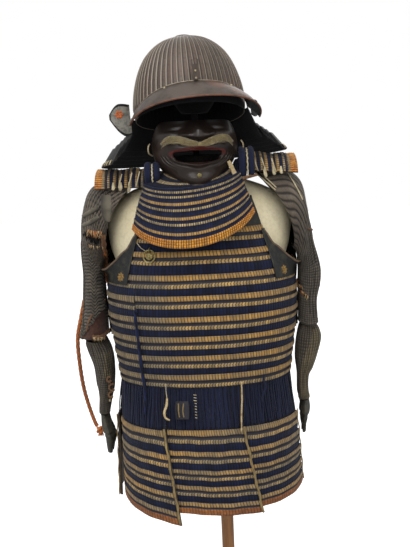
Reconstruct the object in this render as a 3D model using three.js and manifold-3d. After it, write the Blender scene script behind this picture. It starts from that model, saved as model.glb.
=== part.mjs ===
// A suit of samurai armour on a limbless dress form: ribbed helmet, half mask with throat guard, laced
// cuirass and skirt, shoulder wings and hanging sleeves. Millimetres, +Z up, the front faces -Y.
// The origin is the middle of the stand's underside. The form and the armour hang a little to one side of
// the pole, in the group "figure", and the helmet and mask are turned a little, in the group "head".
import * as THREE from "three";
import { mergeVertices } from "three/addons/utils/BufferGeometryUtils.js";
import Module from "manifold-3d";

const wasm = await Module();
wasm.setup();

// ---------- driving dimensions ----------
const radians = THREE.MathUtils.degToRad;
const figureShift = -36; // the form and armour stand this far to the left of the pole
const seamGap = 0.4; // between pieces that are sewn or laced together
const boardThickness = 3; // a lacquered lame
const headStep = 4; // a lame's head stands this far out of the body's surface
const trunkSquareness = 2.3; // 2 is an ellipse, more is squarer

// Sections of the laced body, from the chest down: height, half width and half depth of its surface.
const trunkSections = [
  { z: 1345, halfWidth: 140, halfDepth: 98 },
  { z: 1290, halfWidth: 163, halfDepth: 116 },
  { z: 1240, halfWidth: 181, halfDepth: 129 },
  { z: 1190, halfWidth: 200, halfDepth: 140 },
  { z: 1129, halfWidth: 214, halfDepth: 146 },
  { z: 1083, halfWidth: 214, halfDepth: 147 },
  { z: 1039, halfWidth: 209, halfDepth: 146 },
  { z: 996, halfWidth: 204, halfDepth: 143 },
  { z: 953, halfWidth: 198, halfDepth: 140 },
  { z: 920, halfWidth: 194, halfDepth: 138 },
  { z: 838, halfWidth: 198, halfDepth: 156 },
  { z: 650, halfWidth: 199, halfDepth: 192 },
];
const bodyHeads = [1174, 1129, 1083, 1039, 996, 953]; // heads of the lames that go round the body
const bodyBottom = 926;
const chestHeads = [1270, 1224]; // heads of the two lames between the arms
const backHeads = [1292, 1252, 1213]; // heads of the back's upper lames
const sideSeamAngle = -40; // where the body's lames open, at the wearer's right front
const facetAngle = 10; // one flat of the body's lames, and the side seam falls on a flat's edge

// ---------- surfaces ----------
// A row of a table at one height, worked out between the rows given.
function rowAt(table, key, value) {
  const ordered = [...table].sort((first, second) => first[key] - second[key]);
  const clamped = THREE.MathUtils.clamp(value, ordered[0][key], ordered.at(-1)[key]);
  const upper = Math.max(1, ordered.findIndex((row) => row[key] >= clamped));
  const [below, above] = [ordered[upper - 1], ordered[upper]];
  const share = (clamped - below[key]) / (above[key] - below[key]);
  return Object.fromEntries(
    Object.keys(below).map((name) => [name, THREE.MathUtils.lerp(below[name], above[name], share)]),
  );
}

// A point of a squared oval at an angle from the front, moved outwards by "out".
function ovalPoint(degrees, halfWidth, halfDepth, z, out = 0, squareness = trunkSquareness) {
  const bend = (value) => Math.sign(value) * Math.abs(value) ** (2 / squareness);
  const x = halfWidth * bend(Math.sin(radians(degrees)));
  const y = -halfDepth * bend(Math.cos(radians(degrees)));
  const slope = (value, half) => (Math.sign(value) * Math.abs(value / half) ** (squareness - 1)) / half;
  const normal = new THREE.Vector2(slope(x, halfWidth), slope(y, halfDepth)).normalize();
  return new THREE.Vector3(x + normal.x * out, y + normal.y * out, z);
}

function trunkPoint(degrees, z, out = 0) {
  const row = rowAt(trunkSections, "z", z);
  return ovalPoint(degrees, row.halfWidth, row.halfDepth, z, out);
}

// The angle at a share of the way round the skirt, counted from the front towards +X, so that equal
// shares are equal lengths of cloth.
const angleAtShare = (() => {
  const steps = 720;
  const points = Array.from({ length: steps + 1 }, (_, i) => ovalPoint((i * 360) / steps, 199, 170, 0));
  const along = [0];
  for (let i = 1; i <= steps; i++) along.push(along[i - 1] + points[i].distanceTo(points[i - 1]));
  return (share) => {
    const turns = Math.floor(share);
    const wanted = (share - turns) * along[steps];
    const upper = Math.max(1, along.findIndex((length) => length >= wanted));
    const part = (wanted - along[upper - 1]) / (along[upper] - along[upper - 1]);
    return turns * 360 + ((upper - 1 + part) * 360) / steps;
  };
})();

const stops = (from, to, count) =>
  Array.from({ length: count + 1 }, (_, i) => THREE.MathUtils.lerp(from, to, i / count));

// ---------- solids ----------
// Triangles that close an outline, wound the way its points run.
function capTriangles(outline) {
  const normal = new THREE.Vector3();
  outline.forEach((point, i) => normal.add(point.clone().cross(outline[(i + 1) % outline.length])));
  normal.normalize();
  const across = outline[1].clone().sub(outline[0]).projectOnPlane(normal).normalize();
  const up = normal.clone().cross(across);
  const flat = outline.map((point) => new THREE.Vector2(point.dot(across), point.dot(up)));
  const area = ([a, b, c]) => (b.x - a.x) * (c.y - a.y) - (b.y - a.y) * (c.x - a.x);
  return THREE.ShapeUtils.triangulateShape(flat, []).map((corners) =>
    area(corners.map((i) => flat[i])) < 0 ? [...corners].reverse() : corners,
  );
}

// One closed solid through outlines of equal length, one after another. A closed row of outlines joins its
// last to its first, and an open one is capped at both ends.
function sweep(outlines, closed = false) {
  const count = outlines[0].length;
  const rows = outlines.length;
  const index = [];
  for (let i = 0; i < (closed ? rows : rows - 1); i++) {
    const next = (i + 1) % rows;
    for (let j = 0; j < count; j++) {
      const beside = (j + 1) % count;
      index.push(i * count + j, i * count + beside, next * count + beside);
      index.push(i * count + j, next * count + beside, next * count + j);
    }
  }
  if (!closed) {
    capTriangles(outlines[0]).forEach(([a, b, c]) => index.push(c, b, a));
    const last = (rows - 1) * count;
    capTriangles(outlines.at(-1)).forEach(([a, b, c]) => index.push(last + a, last + b, last + c));
  }
  const points = outlines.flat();
  const volume = index.reduce(
    (sum, _, i) =>
      i % 3 ? sum : sum + points[index[i]].dot(points[index[i + 1]].clone().cross(points[index[i + 2]])),
    0,
  );
  if (volume < 0) index.reverse();
  return new THREE.BufferGeometry().setFromPoints(points).setIndex(index);
}

// A wall: at each stop, the section's rows of [t, out] are placed by pointAt(stop, t, out).
const wall = (pointAt, along, section, closed = false) =>
  sweep(along.map((stop) => section.map(([t, out]) => pointAt(stop, t, out))), closed);

// A tube of cloth through closed rings: its outer rings are followed down, and its inner ones back up.
function tubeWall(outerRings, innerRings) {
  const around = outerRings[0].map((_, j) => [
    ...outerRings.map((ring) => ring[j]),
    ...[...innerRings].reverse().map((ring) => ring[j]),
  ]);
  return sweep(around, true);
}

// A turned piece: a profile of [radius, height] that closes on itself or starts and ends on the axis.
const turned = (profile, segments = 32) =>
  new THREE.LatheGeometry(profile.map(([r, z]) => new THREE.Vector2(r, z)), segments).rotateX(Math.PI / 2);

// A round rod along a curve.
function rod(path, radius, steps, sides = 8) {
  const corners = stops(0, 360, sides).slice(0, -1).map((degrees) => radians(degrees));
  const shape = new THREE.Shape(corners.map((t) => new THREE.Vector2(radius * Math.cos(t), radius * Math.sin(t))));
  return new THREE.ExtrudeGeometry(shape, { steps, bevelEnabled: false, extrudePath: path });
}

function toSolid(geometry) {
  const bare = geometry.clone();
  ["normal", "uv"].forEach((name) => bare.deleteAttribute(name));
  const merged = mergeVertices(bare, 1e-3);
  const vertProperties = merged.attributes.position.array;
  return new wasm.Manifold(
    new wasm.Mesh({ numProp: 3, vertProperties, triVerts: new Uint32Array(merged.index.array) }),
  );
}

function fromSolid(solid) {
  const mesh = solid.getMesh();
  return new THREE.BufferGeometry()
    .setAttribute("position", new THREE.BufferAttribute(new Float32Array(mesh.vertProperties), 3))
    .setIndex(new THREE.BufferAttribute(mesh.triVerts, 1));
}

// ---------- materials ----------
const finish = (color, roughness, metalness = 0) =>
  new THREE.MeshStandardMaterial({ color, roughness, metalness });
const materials = {
  linen: finish(0xd9caa0, 0.95),
  wood: finish(0x9c6f45, 0.5),
  blackWood: finish(0x171310, 0.6),
  iron: finish(0x4a3d35, 0.45, 0.6),
  maskIron: finish(0x3b2a26, 0.35, 0.3),
  blackLacquer: finish(0x14110f, 0.35),
  leather: finish(0x2a2826, 0.6),
  tanHair: finish(0x9b875a, 0.9),
  navyLacing: finish(0x1d2338, 0.8),
  mail: finish(0x38302a, 0.85),
  brass: finish(0x8a7a4a, 0.4, 0.8),
  orangeCord: finish(0xb8642c, 0.85),
};

const armour = new THREE.Group();
const figure = new THREE.Group();
figure.position.x = figureShift;
armour.add(figure);

function add(group, name, geometry, material) {
  const mesh = new THREE.Mesh(geometry, materials[material]);
  mesh.name = name;
  group.add(mesh);
  return mesh;
}

// ---------- stand and dress form ----------
const base = { radius: 200, thickness: 24, collarRadius: 34, collarTop: 60, edge: 5 };
const pole = { radius: 15, bottom: base.collarTop + seamGap, top: 699 };
const formSections = [
  { z: 700, halfWidth: 150, halfDepth: 100 },
  { z: 712, halfWidth: 164, halfDepth: 108 },
  { z: 800, halfWidth: 174, halfDepth: 116 },
  { z: 900, halfWidth: 162, halfDepth: 108 },
  { z: 1000, halfWidth: 156, halfDepth: 104 },
  { z: 1110, halfWidth: 178, halfDepth: 112 },
  { z: 1180, halfWidth: 190, halfDepth: 114 },
  { z: 1240, halfWidth: 206, halfDepth: 102 },
  { z: 1290, halfWidth: 206, halfDepth: 89 },
  { z: 1325, halfWidth: 186, halfDepth: 76 },
  { z: 1350, halfWidth: 150, halfDepth: 62 },
  { z: 1372, halfWidth: 92, halfDepth: 45 },
  { z: 1386, halfWidth: 60, halfDepth: 47 },
  { z: 1424, halfWidth: 52, halfDepth: 48 },
];
const post = { radius: 7, bottom: formSections.at(-1).z + seamGap, top: 1516 };

add(
  armour,
  "stand_base",
  turned([
    [0, 0],
    [base.radius - base.edge, 0],
    [base.radius, base.edge],
    [base.radius, base.thickness - base.edge],
    [base.radius - base.edge, base.thickness],
    [base.collarRadius + 16, base.thickness + 4],
    [base.collarRadius - 6, base.collarTop - 8],
    [base.collarRadius - 10, base.collarTop],
    [0, base.collarTop],
  ], 36),
  "wood",
);
add(
  armour,
  "stand_pole",
  turned([
    [0, pole.bottom],
    [pole.radius - 1, pole.bottom],
    [pole.radius - 1, 300],
    [pole.radius, 600],
    [pole.radius + 1, pole.top],
    [0, pole.top],
  ], 16),
  "wood",
);
const aroundForm = stops(0, 360, 26).slice(0, -1);
add(
  figure,
  "dress_form",
  sweep(
    formSections.map((row) =>
      aroundForm.map((degrees) => ovalPoint(degrees, row.halfWidth, row.halfDepth, row.z, 0, 2.2)),
    ),
  ),
  "linen",
);
add(
  figure,
  "head_post",
  turned([
    [0, post.bottom],
    [post.radius, post.bottom],
    [post.radius, post.top],
    [0, post.top],
  ], 12),
  "blackWood",
);

// ---------- cuirass ----------
// The section of one lame: its head stands out, and its foot goes in behind the next lame's head.
function lameSection(head, foot) {
  const tuck = headStep - boardThickness - 0.8;
  const shoulder = head - 9;
  return [
    [head, headStep],
    [shoulder, headStep - 0.4],
    [foot, tuck],
    [foot, tuck - boardThickness],
    [shoulder, headStep - 0.4 - boardThickness],
    [head, headStep - boardThickness],
  ];
}

const sideGap = 0.3; // degrees, where lames meet at the side seam
bodyHeads.forEach((head, i) => {
  const next = bodyHeads[i + 1];
  const foot = next === undefined ? bodyBottom : next - 6;
  const along = stops(sideSeamAngle, sideSeamAngle + 360, 360 / facetAngle);
  along[0] += sideGap;
  along[along.length - 1] -= sideGap;
  add(figure, `body_lame_${i + 1}`, wall(trunkPoint, along, lameSection(head, foot)), "navyLacing");
});

// The lames above them stop at the arms, where the side plates take over.
const armEdge = 50;
const upperLames = [
  ["chest_lame", chestHeads, 0],
  ["back_lame", backHeads, 180],
];
for (const [name, heads, middle] of upperLames) {
  const along = stops(middle - armEdge, middle + armEdge, (2 * armEdge) / facetAngle);
  heads.forEach((head, i) => {
    const foot = (heads[i + 1] ?? bodyHeads[0]) - 6;
    add(figure, `${name}_${i + 1}`, wall(trunkPoint, along, lameSection(head, foot)), "navyLacing");
  });
}

// The leather plates above the lames, tucked in behind the topmost head. The chest's is hollowed out for
// the neck, and the back's is straight.
const topPlates = [
  { name: "chest_plate", middle: 0, top: 1334, hollow: 44, foot: chestHeads[0] - 6 },
  { name: "back_plate", middle: 180, top: 1338, hollow: 8, foot: backHeads[0] - 6 },
];
for (const { name, middle, top, hollow, foot } of topPlates) {
  const along = stops(-armEdge, armEdge, (2 * armEdge) / facetAngle);
  const pointAt = (degrees, level, out) => {
    const dip = hollow * Math.cos(radians((degrees / armEdge) * 90)) ** 0.8;
    const z = level === 1 ? top - (armEdge === Math.abs(degrees) ? 0 : dip) : foot + level * 32;
    return trunkPoint(middle + degrees, z, out);
  };
  const section = [
    [1, 2.4],
    [0.5, 2.4],
    [0, 0.1],
    [0, 0.1 - boardThickness],
    [0.5, 2.4 - boardThickness],
    [1, 2.4 - boardThickness],
  ];
  add(figure, name, wall(pointAt, along, section), "leather");
}

// The side plates under the arms lie over the lames. Their tops follow the armhole, and their rims turn
// outwards. Each row is an angle round the body, the top's height and how far the rim turns out.
const armhole = [
  { angle: 47, top: 1262, rim: 0 },
  { angle: 50, top: 1254, rim: 0 },
  { angle: 54, top: 1230, rim: 0 },
  { angle: 58, top: 1221, rim: 2 },
  { angle: 64, top: 1200, rim: 8 },
  { angle: 71, top: 1183, rim: 15 },
  { angle: 77, top: 1180, rim: 18 },
  { angle: 84, top: 1178, rim: 7 },
  { angle: 98, top: 1180, rim: 6 },
  { angle: 112, top: 1196, rim: 8 },
  { angle: 124, top: 1232, rim: 2 },
  { angle: 134, top: 1262, rim: 0 },
];
const sidePlate = { out: 4.7, bottom: 1152, fold: 1190, turn: 16, from: 47, to: 134 };
for (const [side, mirror] of [["right", -1], ["left", 1]]) {
  const pointAt = (degrees, level, out) => {
    const { top, rim } = rowAt(armhole, "angle", degrees);
    const turn = top - sidePlate.turn;
    const fold = Math.min(sidePlate.fold, (sidePlate.bottom + turn) / 2);
    const z = [sidePlate.bottom, fold, turn, top][level];
    return trunkPoint(mirror * degrees, z, sidePlate.out + out + (level === 3 ? rim : 0));
  };
  const section = [3, 2, 1, 0].map((level) => [level, boardThickness]);
  section.push(...[0, 1, 2, 3].map((level) => [level, 0]));
  add(figure, `side_plate_${side}`, wall(pointAt, stops(sidePlate.from, sidePlate.to, 20), section), "leather");
}

// A flat strap along a path, with its width across the path and its thickness away from the form.
function strap(path, width, thickness, steps) {
  const curve = new THREE.CatmullRomCurve3(path.map(([x, y, z]) => new THREE.Vector3(x, y, z)));
  return sweep(
    stops(0, 1, steps).map((share) => {
      const middle = curve.getPoint(share);
      const along = curve.getTangent(share);
      const across = new THREE.Vector3(1, 0, 0).projectOnPlane(along).normalize();
      const out = across.clone().cross(along).normalize();
      return [[-1, -1], [1, -1], [1, 1], [-1, 1]].map(([i, j]) =>
        middle.clone().addScaledVector(across, (i * width) / 2).addScaledVector(out, (j * thickness) / 2),
      );
    }),
  );
}
for (const [side, mirror] of [["right", -1], ["left", 1]]) {
  const path = [
    [92, -105, 1306],
    [90, -93, 1335],
    [88, -74, 1356],
    [86, -40, 1381],
    [86, 0, 1390],
    [86, 40, 1380],
    [88, 74, 1357],
    [90, 100, 1330],
    [92, 114, 1306],
  ].map(([x, y, z]) => [mirror * x, y, z]);
  add(figure, `shoulder_strap_${side}`, strap(path, 30, 4, 18), "leather");
}

// ---------- skirt: seven laced panels hung on long laces ----------
const panelCount = 7;
const panelStart = -0.0774; // share of the way round where the front panel's open edge starts
const panelHeads = [834, 790, 751, 718, 684];
const panelHem = 658;
const laceTop = 921;
const panelNames = ["front", "front_left", "back_left", "back_middle_left", "back_middle_right", "back_right",
  "front_right"];
const drops = { front_right: 24, front: 8 }; // how far a panel's free lower corner hangs below its hem
const panelSection = [
  [laceTop, 1],
  [panelHeads[0] + 2, 1],
  ...panelHeads.flatMap((head, i) => [
    [head, headStep],
    [i < panelHeads.length - 1 ? panelHeads[i + 1] + 1 : panelHem, 1],
  ]),
  [panelHem, -2],
  [panelHeads[0], -2],
  [laceTop, -1],
];
panelNames.forEach((name, i) => {
  const from = panelStart + i / panelCount + 0.0008;
  const to = panelStart + (i + 1) / panelCount - 0.0008;
  const pointAt = (s, z, out) => {
    const down = THREE.MathUtils.clamp((laceTop - z) / (laceTop - panelHem), 0, 1);
    const lower = THREE.MathUtils.clamp((panelHeads[0] - z) / (panelHeads[0] - panelHem), 0, 1);
    const share = THREE.MathUtils.lerp(from, to + 0.026 * lower, s);
    const lift = 0.5 + s * (9 * Math.min(1, down * 3) + 7 * lower); // the free edge lies on the next panel
    return trunkPoint(angleAtShare(share), z, out + lift).setZ(z - (drops[name] ?? 0) * s * lower);
  };
  add(figure, `skirt_panel_${name}`, wall(pointAt, stops(0, 1, 8), panelSection), "navyLacing");
});

// ---------- shoulder wings ----------
// Five strips, laced one outside the other, arch over each shoulder from front to back.
const wing = { strips: 5, pitch: 24.4, halfDepth: 72, droop: 36 };
for (const [side, mirror, start, crown, fall] of [["right", -1, 104, 1396, 0], ["left", 1, 100, 1424, 10]]) {
  const span = wing.strips * wing.pitch;
  const section = [];
  for (let i = 0; i < wing.strips; i++) section.push([i * wing.pitch, headStep], [(i + 1) * wing.pitch - 1, 1]);
  section.push([span - 1, 1 - boardThickness], [0, 1 - boardThickness]);
  const pointAt = (share, outward, out) => {
    const lean = (share * Math.PI) / 2.3;
    const y = (wing.halfDepth * Math.sin(lean)) / Math.sin(Math.PI / 2.3);
    const top = crown - (fall * outward) / span - wing.droop * (1 - Math.cos(lean)) * 1.25;
    return new THREE.Vector3(
      mirror * (start + outward),
      y + out * Math.sin(lean * 0.9),
      top + out * Math.cos(lean * 0.9),
    );
  };
  add(figure, `shoulder_wing_${side}`, wall(pointAt, stops(-1, 1, 12), section), "navyLacing");
}

// A soft roll lies on the left strap and carries the wing's inner end.
const padPath = new THREE.CatmullRomCurve3(
  [
    [87, -84, 1367],
    [87, -76, 1374],
    [87, -62, 1386],
    [92, -32, 1402],
    [97, 0, 1407],
    [97, 34, 1399],
  ].map(([x, y, z]) => new THREE.Vector3(x, y, z)),
);
add(figure, "shoulder_pad_left", rod(padPath, 12, 14, 10), "navyLacing");

// ---------- sleeves ----------
// Rings of the upper sleeve. Those at the shoulder all meet at the armpit and open like a fan, so that
// the outermost line passes over the shoulder. "inner" and "outer" are the ring's two ends in X and Z.
const sleeves = {
  right: {
    mirror: -1,
    fan: [
      { innerX: 211, innerZ: 1206, outerX: 128, outerZ: 1378, halfDepth: 90, bow: 24 },
      { innerX: 214, innerZ: 1202, outerX: 172, outerZ: 1382, halfDepth: 90, bow: 14 },
      { innerX: 218, innerZ: 1197, outerX: 216, outerZ: 1374, halfDepth: 86, bow: 6 },
      { innerX: 221, innerZ: 1190, outerX: 248, outerZ: 1350, halfDepth: 80, bow: 0 },
      { innerX: 222, innerZ: 1182, outerX: 266, outerZ: 1296, halfDepth: 72, bow: 0 },
      { innerX: 222, innerZ: 1175, outerX: 271, outerZ: 1235, halfDepth: 66, bow: 0 },
      { innerX: 222, innerZ: 1150, outerX: 270, outerZ: 1162, halfDepth: 62, bow: 0 },
      { innerX: 221, innerZ: 1085, outerX: 276, outerZ: 1085, halfDepth: 62, bow: 0 },
      { innerX: 220, innerZ: 1024, outerX: 288, outerZ: 1020, halfDepth: 64, bow: 0 },
    ],
    forearm: [
      { z: 1012, innerX: 226, outerX: 276, halfDepth: 46 },
      { z: 985, innerX: 214, outerX: 270, halfDepth: 45 },
      { z: 945, innerX: 212, outerX: 259, halfDepth: 43 },
      { z: 905, innerX: 213, outerX: 254, halfDepth: 39 },
      { z: 870, innerX: 222, outerX: 253, halfDepth: 34 },
      { z: 836, innerX: 228, outerX: 254, halfDepth: 30 },
    ],
    hand: [
      { z: 834, innerX: 232, outerX: 252, halfDepth: 26 },
      { z: 800, innerX: 222, outerX: 250, halfDepth: 36 },
      { z: 776, innerX: 217, outerX: 245, halfDepth: 37 },
      { z: 740, innerX: 226, outerX: 240, halfDepth: 24 },
    ],
  },
  left: {
    mirror: 1,
    fan: [
      { innerX: 211, innerZ: 1206, outerX: 124, outerZ: 1384, halfDepth: 90, bow: 24 },
      { innerX: 214, innerZ: 1202, outerX: 168, outerZ: 1392, halfDepth: 90, bow: 14 },
      { innerX: 218, innerZ: 1197, outerX: 206, outerZ: 1382, halfDepth: 86, bow: 6 },
      { innerX: 221, innerZ: 1190, outerX: 234, outerZ: 1354, halfDepth: 80, bow: 0 },
      { innerX: 222, innerZ: 1182, outerX: 246, outerZ: 1300, halfDepth: 72, bow: 0 },
      { innerX: 222, innerZ: 1175, outerX: 256, outerZ: 1235, halfDepth: 66, bow: 0 },
      { innerX: 222, innerZ: 1150, outerX: 273, outerZ: 1152, halfDepth: 60, bow: 0 },
      { innerX: 221, innerZ: 1085, outerX: 264, outerZ: 1085, halfDepth: 56, bow: 0 },
      { innerX: 220, innerZ: 1034, outerX: 264, outerZ: 1032, halfDepth: 56, bow: 0 },
    ],
    forearm: [
      { z: 1030, innerX: 224, outerX: 260, halfDepth: 46 },
      { z: 1000, innerX: 214, outerX: 268, halfDepth: 48 },
      { z: 950, innerX: 210, outerX: 256, halfDepth: 45 },
      { z: 910, innerX: 212, outerX: 240, halfDepth: 40 },
      { z: 870, innerX: 213, outerX: 239, halfDepth: 35 },
      { z: 852, innerX: 214, outerX: 240, halfDepth: 32 },
    ],
    hand: [
      { z: 850, innerX: 217, outerX: 240, halfDepth: 30 },
      { z: 825, innerX: 216, outerX: 241, halfDepth: 36 },
      { z: 798, innerX: 218, outerX: 234, halfDepth: 36 },
      { z: 770, innerX: 220, outerX: 230, halfDepth: 24 },
    ],
  },
};
const sleeveSides = 14;
const sleeveWall = 2.4;

// A closed ring between its two ends, bowed outwards by "bow" and "inset" inside its outline.
function sleeveRing(mirror, row, inset) {
  const inner = new THREE.Vector2(row.innerX, row.innerZ ?? row.z);
  const outer = new THREE.Vector2(row.outerX, row.outerZ ?? row.z);
  const middle = inner.clone().add(outer).multiplyScalar(0.5);
  const half = outer.clone().sub(inner).multiplyScalar(0.5);
  const across = new THREE.Vector2(half.y, -half.x).normalize();
  return stops(0, 360, sleeveSides).slice(0, -1).map((degrees) => {
    const along = Math.cos(radians(degrees));
    const place = middle.clone().addScaledVector(half, along * (1 - inset / half.length()));
    place.addScaledVector(across, (row.bow ?? 0) * (1 - along * along));
    return new THREE.Vector3(mirror * place.x, (row.halfDepth - inset) * Math.sin(radians(degrees)), place.y);
  });
}
function sleeveTube(mirror, rows, thickness) {
  const rings = (inset) => rows.map((row) => sleeveRing(mirror, row, inset));
  return tubeWall(rings(0), rings(thickness));
}
for (const [side, sleeve] of Object.entries(sleeves)) {
  add(figure, `upper_sleeve_${side}`, sleeveTube(sleeve.mirror, sleeve.fan, sleeveWall), "mail");
  add(figure, `forearm_sleeve_${side}`, sleeveTube(sleeve.mirror, sleeve.forearm, sleeveWall), "mail");
  add(figure, `hand_guard_${side}`, sleeveTube(sleeve.mirror, sleeve.hand, sleeveWall), "leather");
}

// ---------- helmet ----------
// The helmet is turned a little to the wearer's left and tipped back, and its heights count from "pivot".
const head = {
  shift: -11,
  pivot: 1530,
  helmetTurn: 8,
  helmetTip: -12,
  helmetRoll: -1.5,
  guardTurn: 6,
  guardTip: -4,
  guardRoll: -3,
};
function tiltedGroup(shift, height, tip, roll, turn) {
  const turned = new THREE.Group();
  turned.position.set(shift, 0, height);
  turned.rotation.set(0, radians(roll), radians(turn));
  figure.add(turned);
  const group = new THREE.Group();
  group.rotation.set(radians(tip), 0, 0);
  turned.add(group);
  return group;
}
const helmet = tiltedGroup(head.shift, head.pivot, head.helmetTip, head.helmetRoll, head.helmetTurn);

const helmetRows = [
  { z: -22, halfWidth: 124 },
  { z: 0, halfWidth: 126 },
  { z: 42, halfWidth: 121 },
  { z: 82, halfWidth: 109 },
  { z: 115, halfWidth: 91 },
  { z: 141, halfWidth: 62 },
  { z: 154, halfWidth: 26 },
];
const bowl = { ribs: 62, ribHeight: 1.6, depthShare: 1.1, wall: 3.4, innerSides: 31 };
const bowlRing = (row, sides, inset, groove) =>
  stops(0, 360, sides).slice(0, -1).map((degrees, i) => {
    const radius = row.halfWidth - inset - (i % 2 ? 0 : groove);
    const x = radius * Math.sin(radians(degrees));
    return new THREE.Vector3(x, -radius * bowl.depthShare * Math.cos(radians(degrees)), row.z);
  });
const outerBowl = sweep(
  helmetRows.map((row) => bowlRing(row, bowl.ribs * 2, 0, row.z < 0 ? 0 : bowl.ribHeight)),
);
const innerRows = helmetRows.map((row, i) => ({ ...row, z: i ? row.z - bowl.wall : row.z - 1 }));
const innerBowl = sweep(innerRows.map((row) => bowlRing(row, bowl.innerSides, bowl.wall, 0)));
add(helmet, "helmet_bowl", fromSolid(toSolid(outerBowl).subtract(toSolid(innerBowl))), "iron");

// The crown's collar, round the small hole at the top.
add(
  helmet,
  "crown_ring",
  turned([
    [8, 154.5],
    [24, 154.5],
    [25, 156],
    [19, 160.5],
    [12, 161.5],
    [8, 160],
    [8, 154.5],
  ], 20),
  "iron",
);

// The brim: its inner edge rises over the brow, and its outer edge stands out and down.
const brimRows = [
  { angle: 0, innerZ: 20, reach: 44, outerZ: -24 },
  { angle: 25, innerZ: 17, reach: 42, outerZ: -25 },
  { angle: 45, innerZ: 8, reach: 36, outerZ: -29 },
  { angle: 62, innerZ: -5, reach: 28, outerZ: -36 },
  { angle: 76, innerZ: -15, reach: 20, outerZ: -42 },
];
const brimPoint = (degrees, level, out) => {
  const row = rowAt(brimRows, "angle", Math.abs(degrees));
  const start = 127.2;
  const reach = row.reach * (1 + 0.3 * Math.sin(radians(degrees))); // the brim is a little out of true
  const radius = start + reach * [0, 0.55, 1][level] + out * 0.6;
  const z = [row.innerZ, THREE.MathUtils.lerp(row.innerZ, row.outerZ, 0.42), row.outerZ][level] + out * 0.8;
  return new THREE.Vector3(
    radius * Math.sin(radians(degrees)),
    -(radius + start * (bowl.depthShare - 1)) * Math.cos(radians(degrees)),
    z,
  );
};
const brimSection = [
  [0, 2.4],
  [1, 2.4],
  [2, 2.4],
  [2, 0],
  [1, 0],
  [0, 0],
];
add(helmet, "brim", wall(brimPoint, stops(-76, 76, 22), brimSection), "iron");

// The crest holder: a forked tab on the bowl's front, riveted over the brim.
const crestHolder = new THREE.Shape();
[[-5, -22], [5, -22], [6, 4], [8, 8], [8, 22], [4, 22], [4, 12], [-4, 12], [-4, 22], [-8, 22], [-8, 8], [-6, 4]]
  .forEach(([x, y], i) => (i ? crestHolder.lineTo(x, y) : crestHolder.moveTo(x, y)));
add(
  helmet,
  "crest_holder",
  new THREE.ExtrudeGeometry(crestHolder, { depth: 2.4, bevelEnabled: false })
    .rotateX(radians(90 + 6))
    .translate(0, -147, 42),
  "iron",
);

// ---------- neck guard ----------
const guard = tiltedGroup(head.shift, head.pivot, head.guardTip, head.guardRoll, head.guardTurn);
const guardWall = 2.4;
const guardLames = [
  { topRadius: 129, topZ: -12, footRadius: 154, footZ: -80, opening: 81 },
  { topRadius: 148, topZ: -52, footRadius: 176, footZ: -90, opening: 64 },
  { topRadius: 158, topZ: -60, footRadius: 186, footZ: -98, opening: 64 },
  { topRadius: 168, topZ: -68, footRadius: 196, footZ: -106, opening: 64 },
  { topRadius: 178, topZ: -76, footRadius: 206, footZ: -114, opening: 64 },
];
guardLames.forEach((lame, i) => {
  const pointAt = (degrees, share, out) => {
    const radius = THREE.MathUtils.lerp(lame.topRadius, lame.footRadius, share) + out;
    const z = THREE.MathUtils.lerp(lame.topZ, lame.footZ, share);
    return ovalPoint(degrees, radius, radius * 1.06, z, 0, 2).add(new THREE.Vector3(0, 9, 0));
  };
  const section = [
    [0, guardWall],
    [1, guardWall],
    [1, 0],
    [0, 0],
  ];
  const along = stops(lame.opening, 360 - lame.opening, 24);
  add(guard, `neck_guard_lame_${i + 1}`, wall(pointAt, along, section), "blackLacquer");
});

// The turned-back flaps at the guard's front ends: leaf-shaped, wide on the wearer's right and folded well
// back on the left.
const flaps = {
  right: {
    path: [[-134, -17], [-146, -24], [-158, -27], [-168, -27], [-178, -24]],
    middles: [-17, -17, -13, -10, -8],
    halfHeights: [32, 34, 30, 20, 5],
  },
  left: {
    path: [[136, -17], [143, -8], [150, 4], [156, 18], [160, 32]],
    middles: [-14, -15, -14, -12, -10],
    halfHeights: [14, 17, 17, 13, 5],
  },
};
for (const [side, flap] of Object.entries(flaps)) {
  const outlines = flap.path.map(([x, y], i) => {
    const [before, after] = [flap.path[Math.max(0, i - 1)], flap.path[Math.min(4, i + 1)]];
    const normal = new THREE.Vector3(after[1] - before[1], before[0] - after[0], 0).normalize();
    const half = flap.halfHeights[i];
    const middle = new THREE.Vector3(x, y, flap.middles[i]);
    return [[1, 1], [0.6, 1], [-0.6, 1], [-1, 1], [-1, -1], [1, -1]].map(([up, out]) =>
      middle.clone().add(new THREE.Vector3(0, 0, half * up)).addScaledVector(normal, 1.2 * out),
    );
  });
  add(guard, `turned_flap_${side}`, sweep(outlines), "leather");
}

// ---------- mask and throat guard ----------
const mask = tiltedGroup(-9, 0, 0, 0, 6.5);
const maskRows = [
  { z: 1361, halfWidth: 44, halfDepth: 76 },
  { z: 1374, halfWidth: 57, halfDepth: 80 },
  { z: 1388, halfWidth: 70, halfDepth: 82 },
  { z: 1400, halfWidth: 80, halfDepth: 83 },
  { z: 1411, halfWidth: 87, halfDepth: 83 },
  { z: 1424, halfWidth: 93, halfDepth: 83 },
  { z: 1437, halfWidth: 96, halfDepth: 84 },
  { z: 1450, halfWidth: 97, halfDepth: 84 },
  { z: 1462, halfWidth: 95, halfDepth: 82 },
  { z: 1474, halfWidth: 92, halfDepth: 78 },
  { z: 1486, halfWidth: 88, halfDepth: 74 },
  { z: 1500, halfWidth: 83, halfDepth: 70 },
];
const maskColumns = { step: 7.68, each: 10 };
const mouthHalfColumns = 5;
const mouthRows = [4, 5]; // the rows of the table between which the mouth opens
const swell = (distance, width) => Math.exp(-((distance / width) ** 2));
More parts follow.
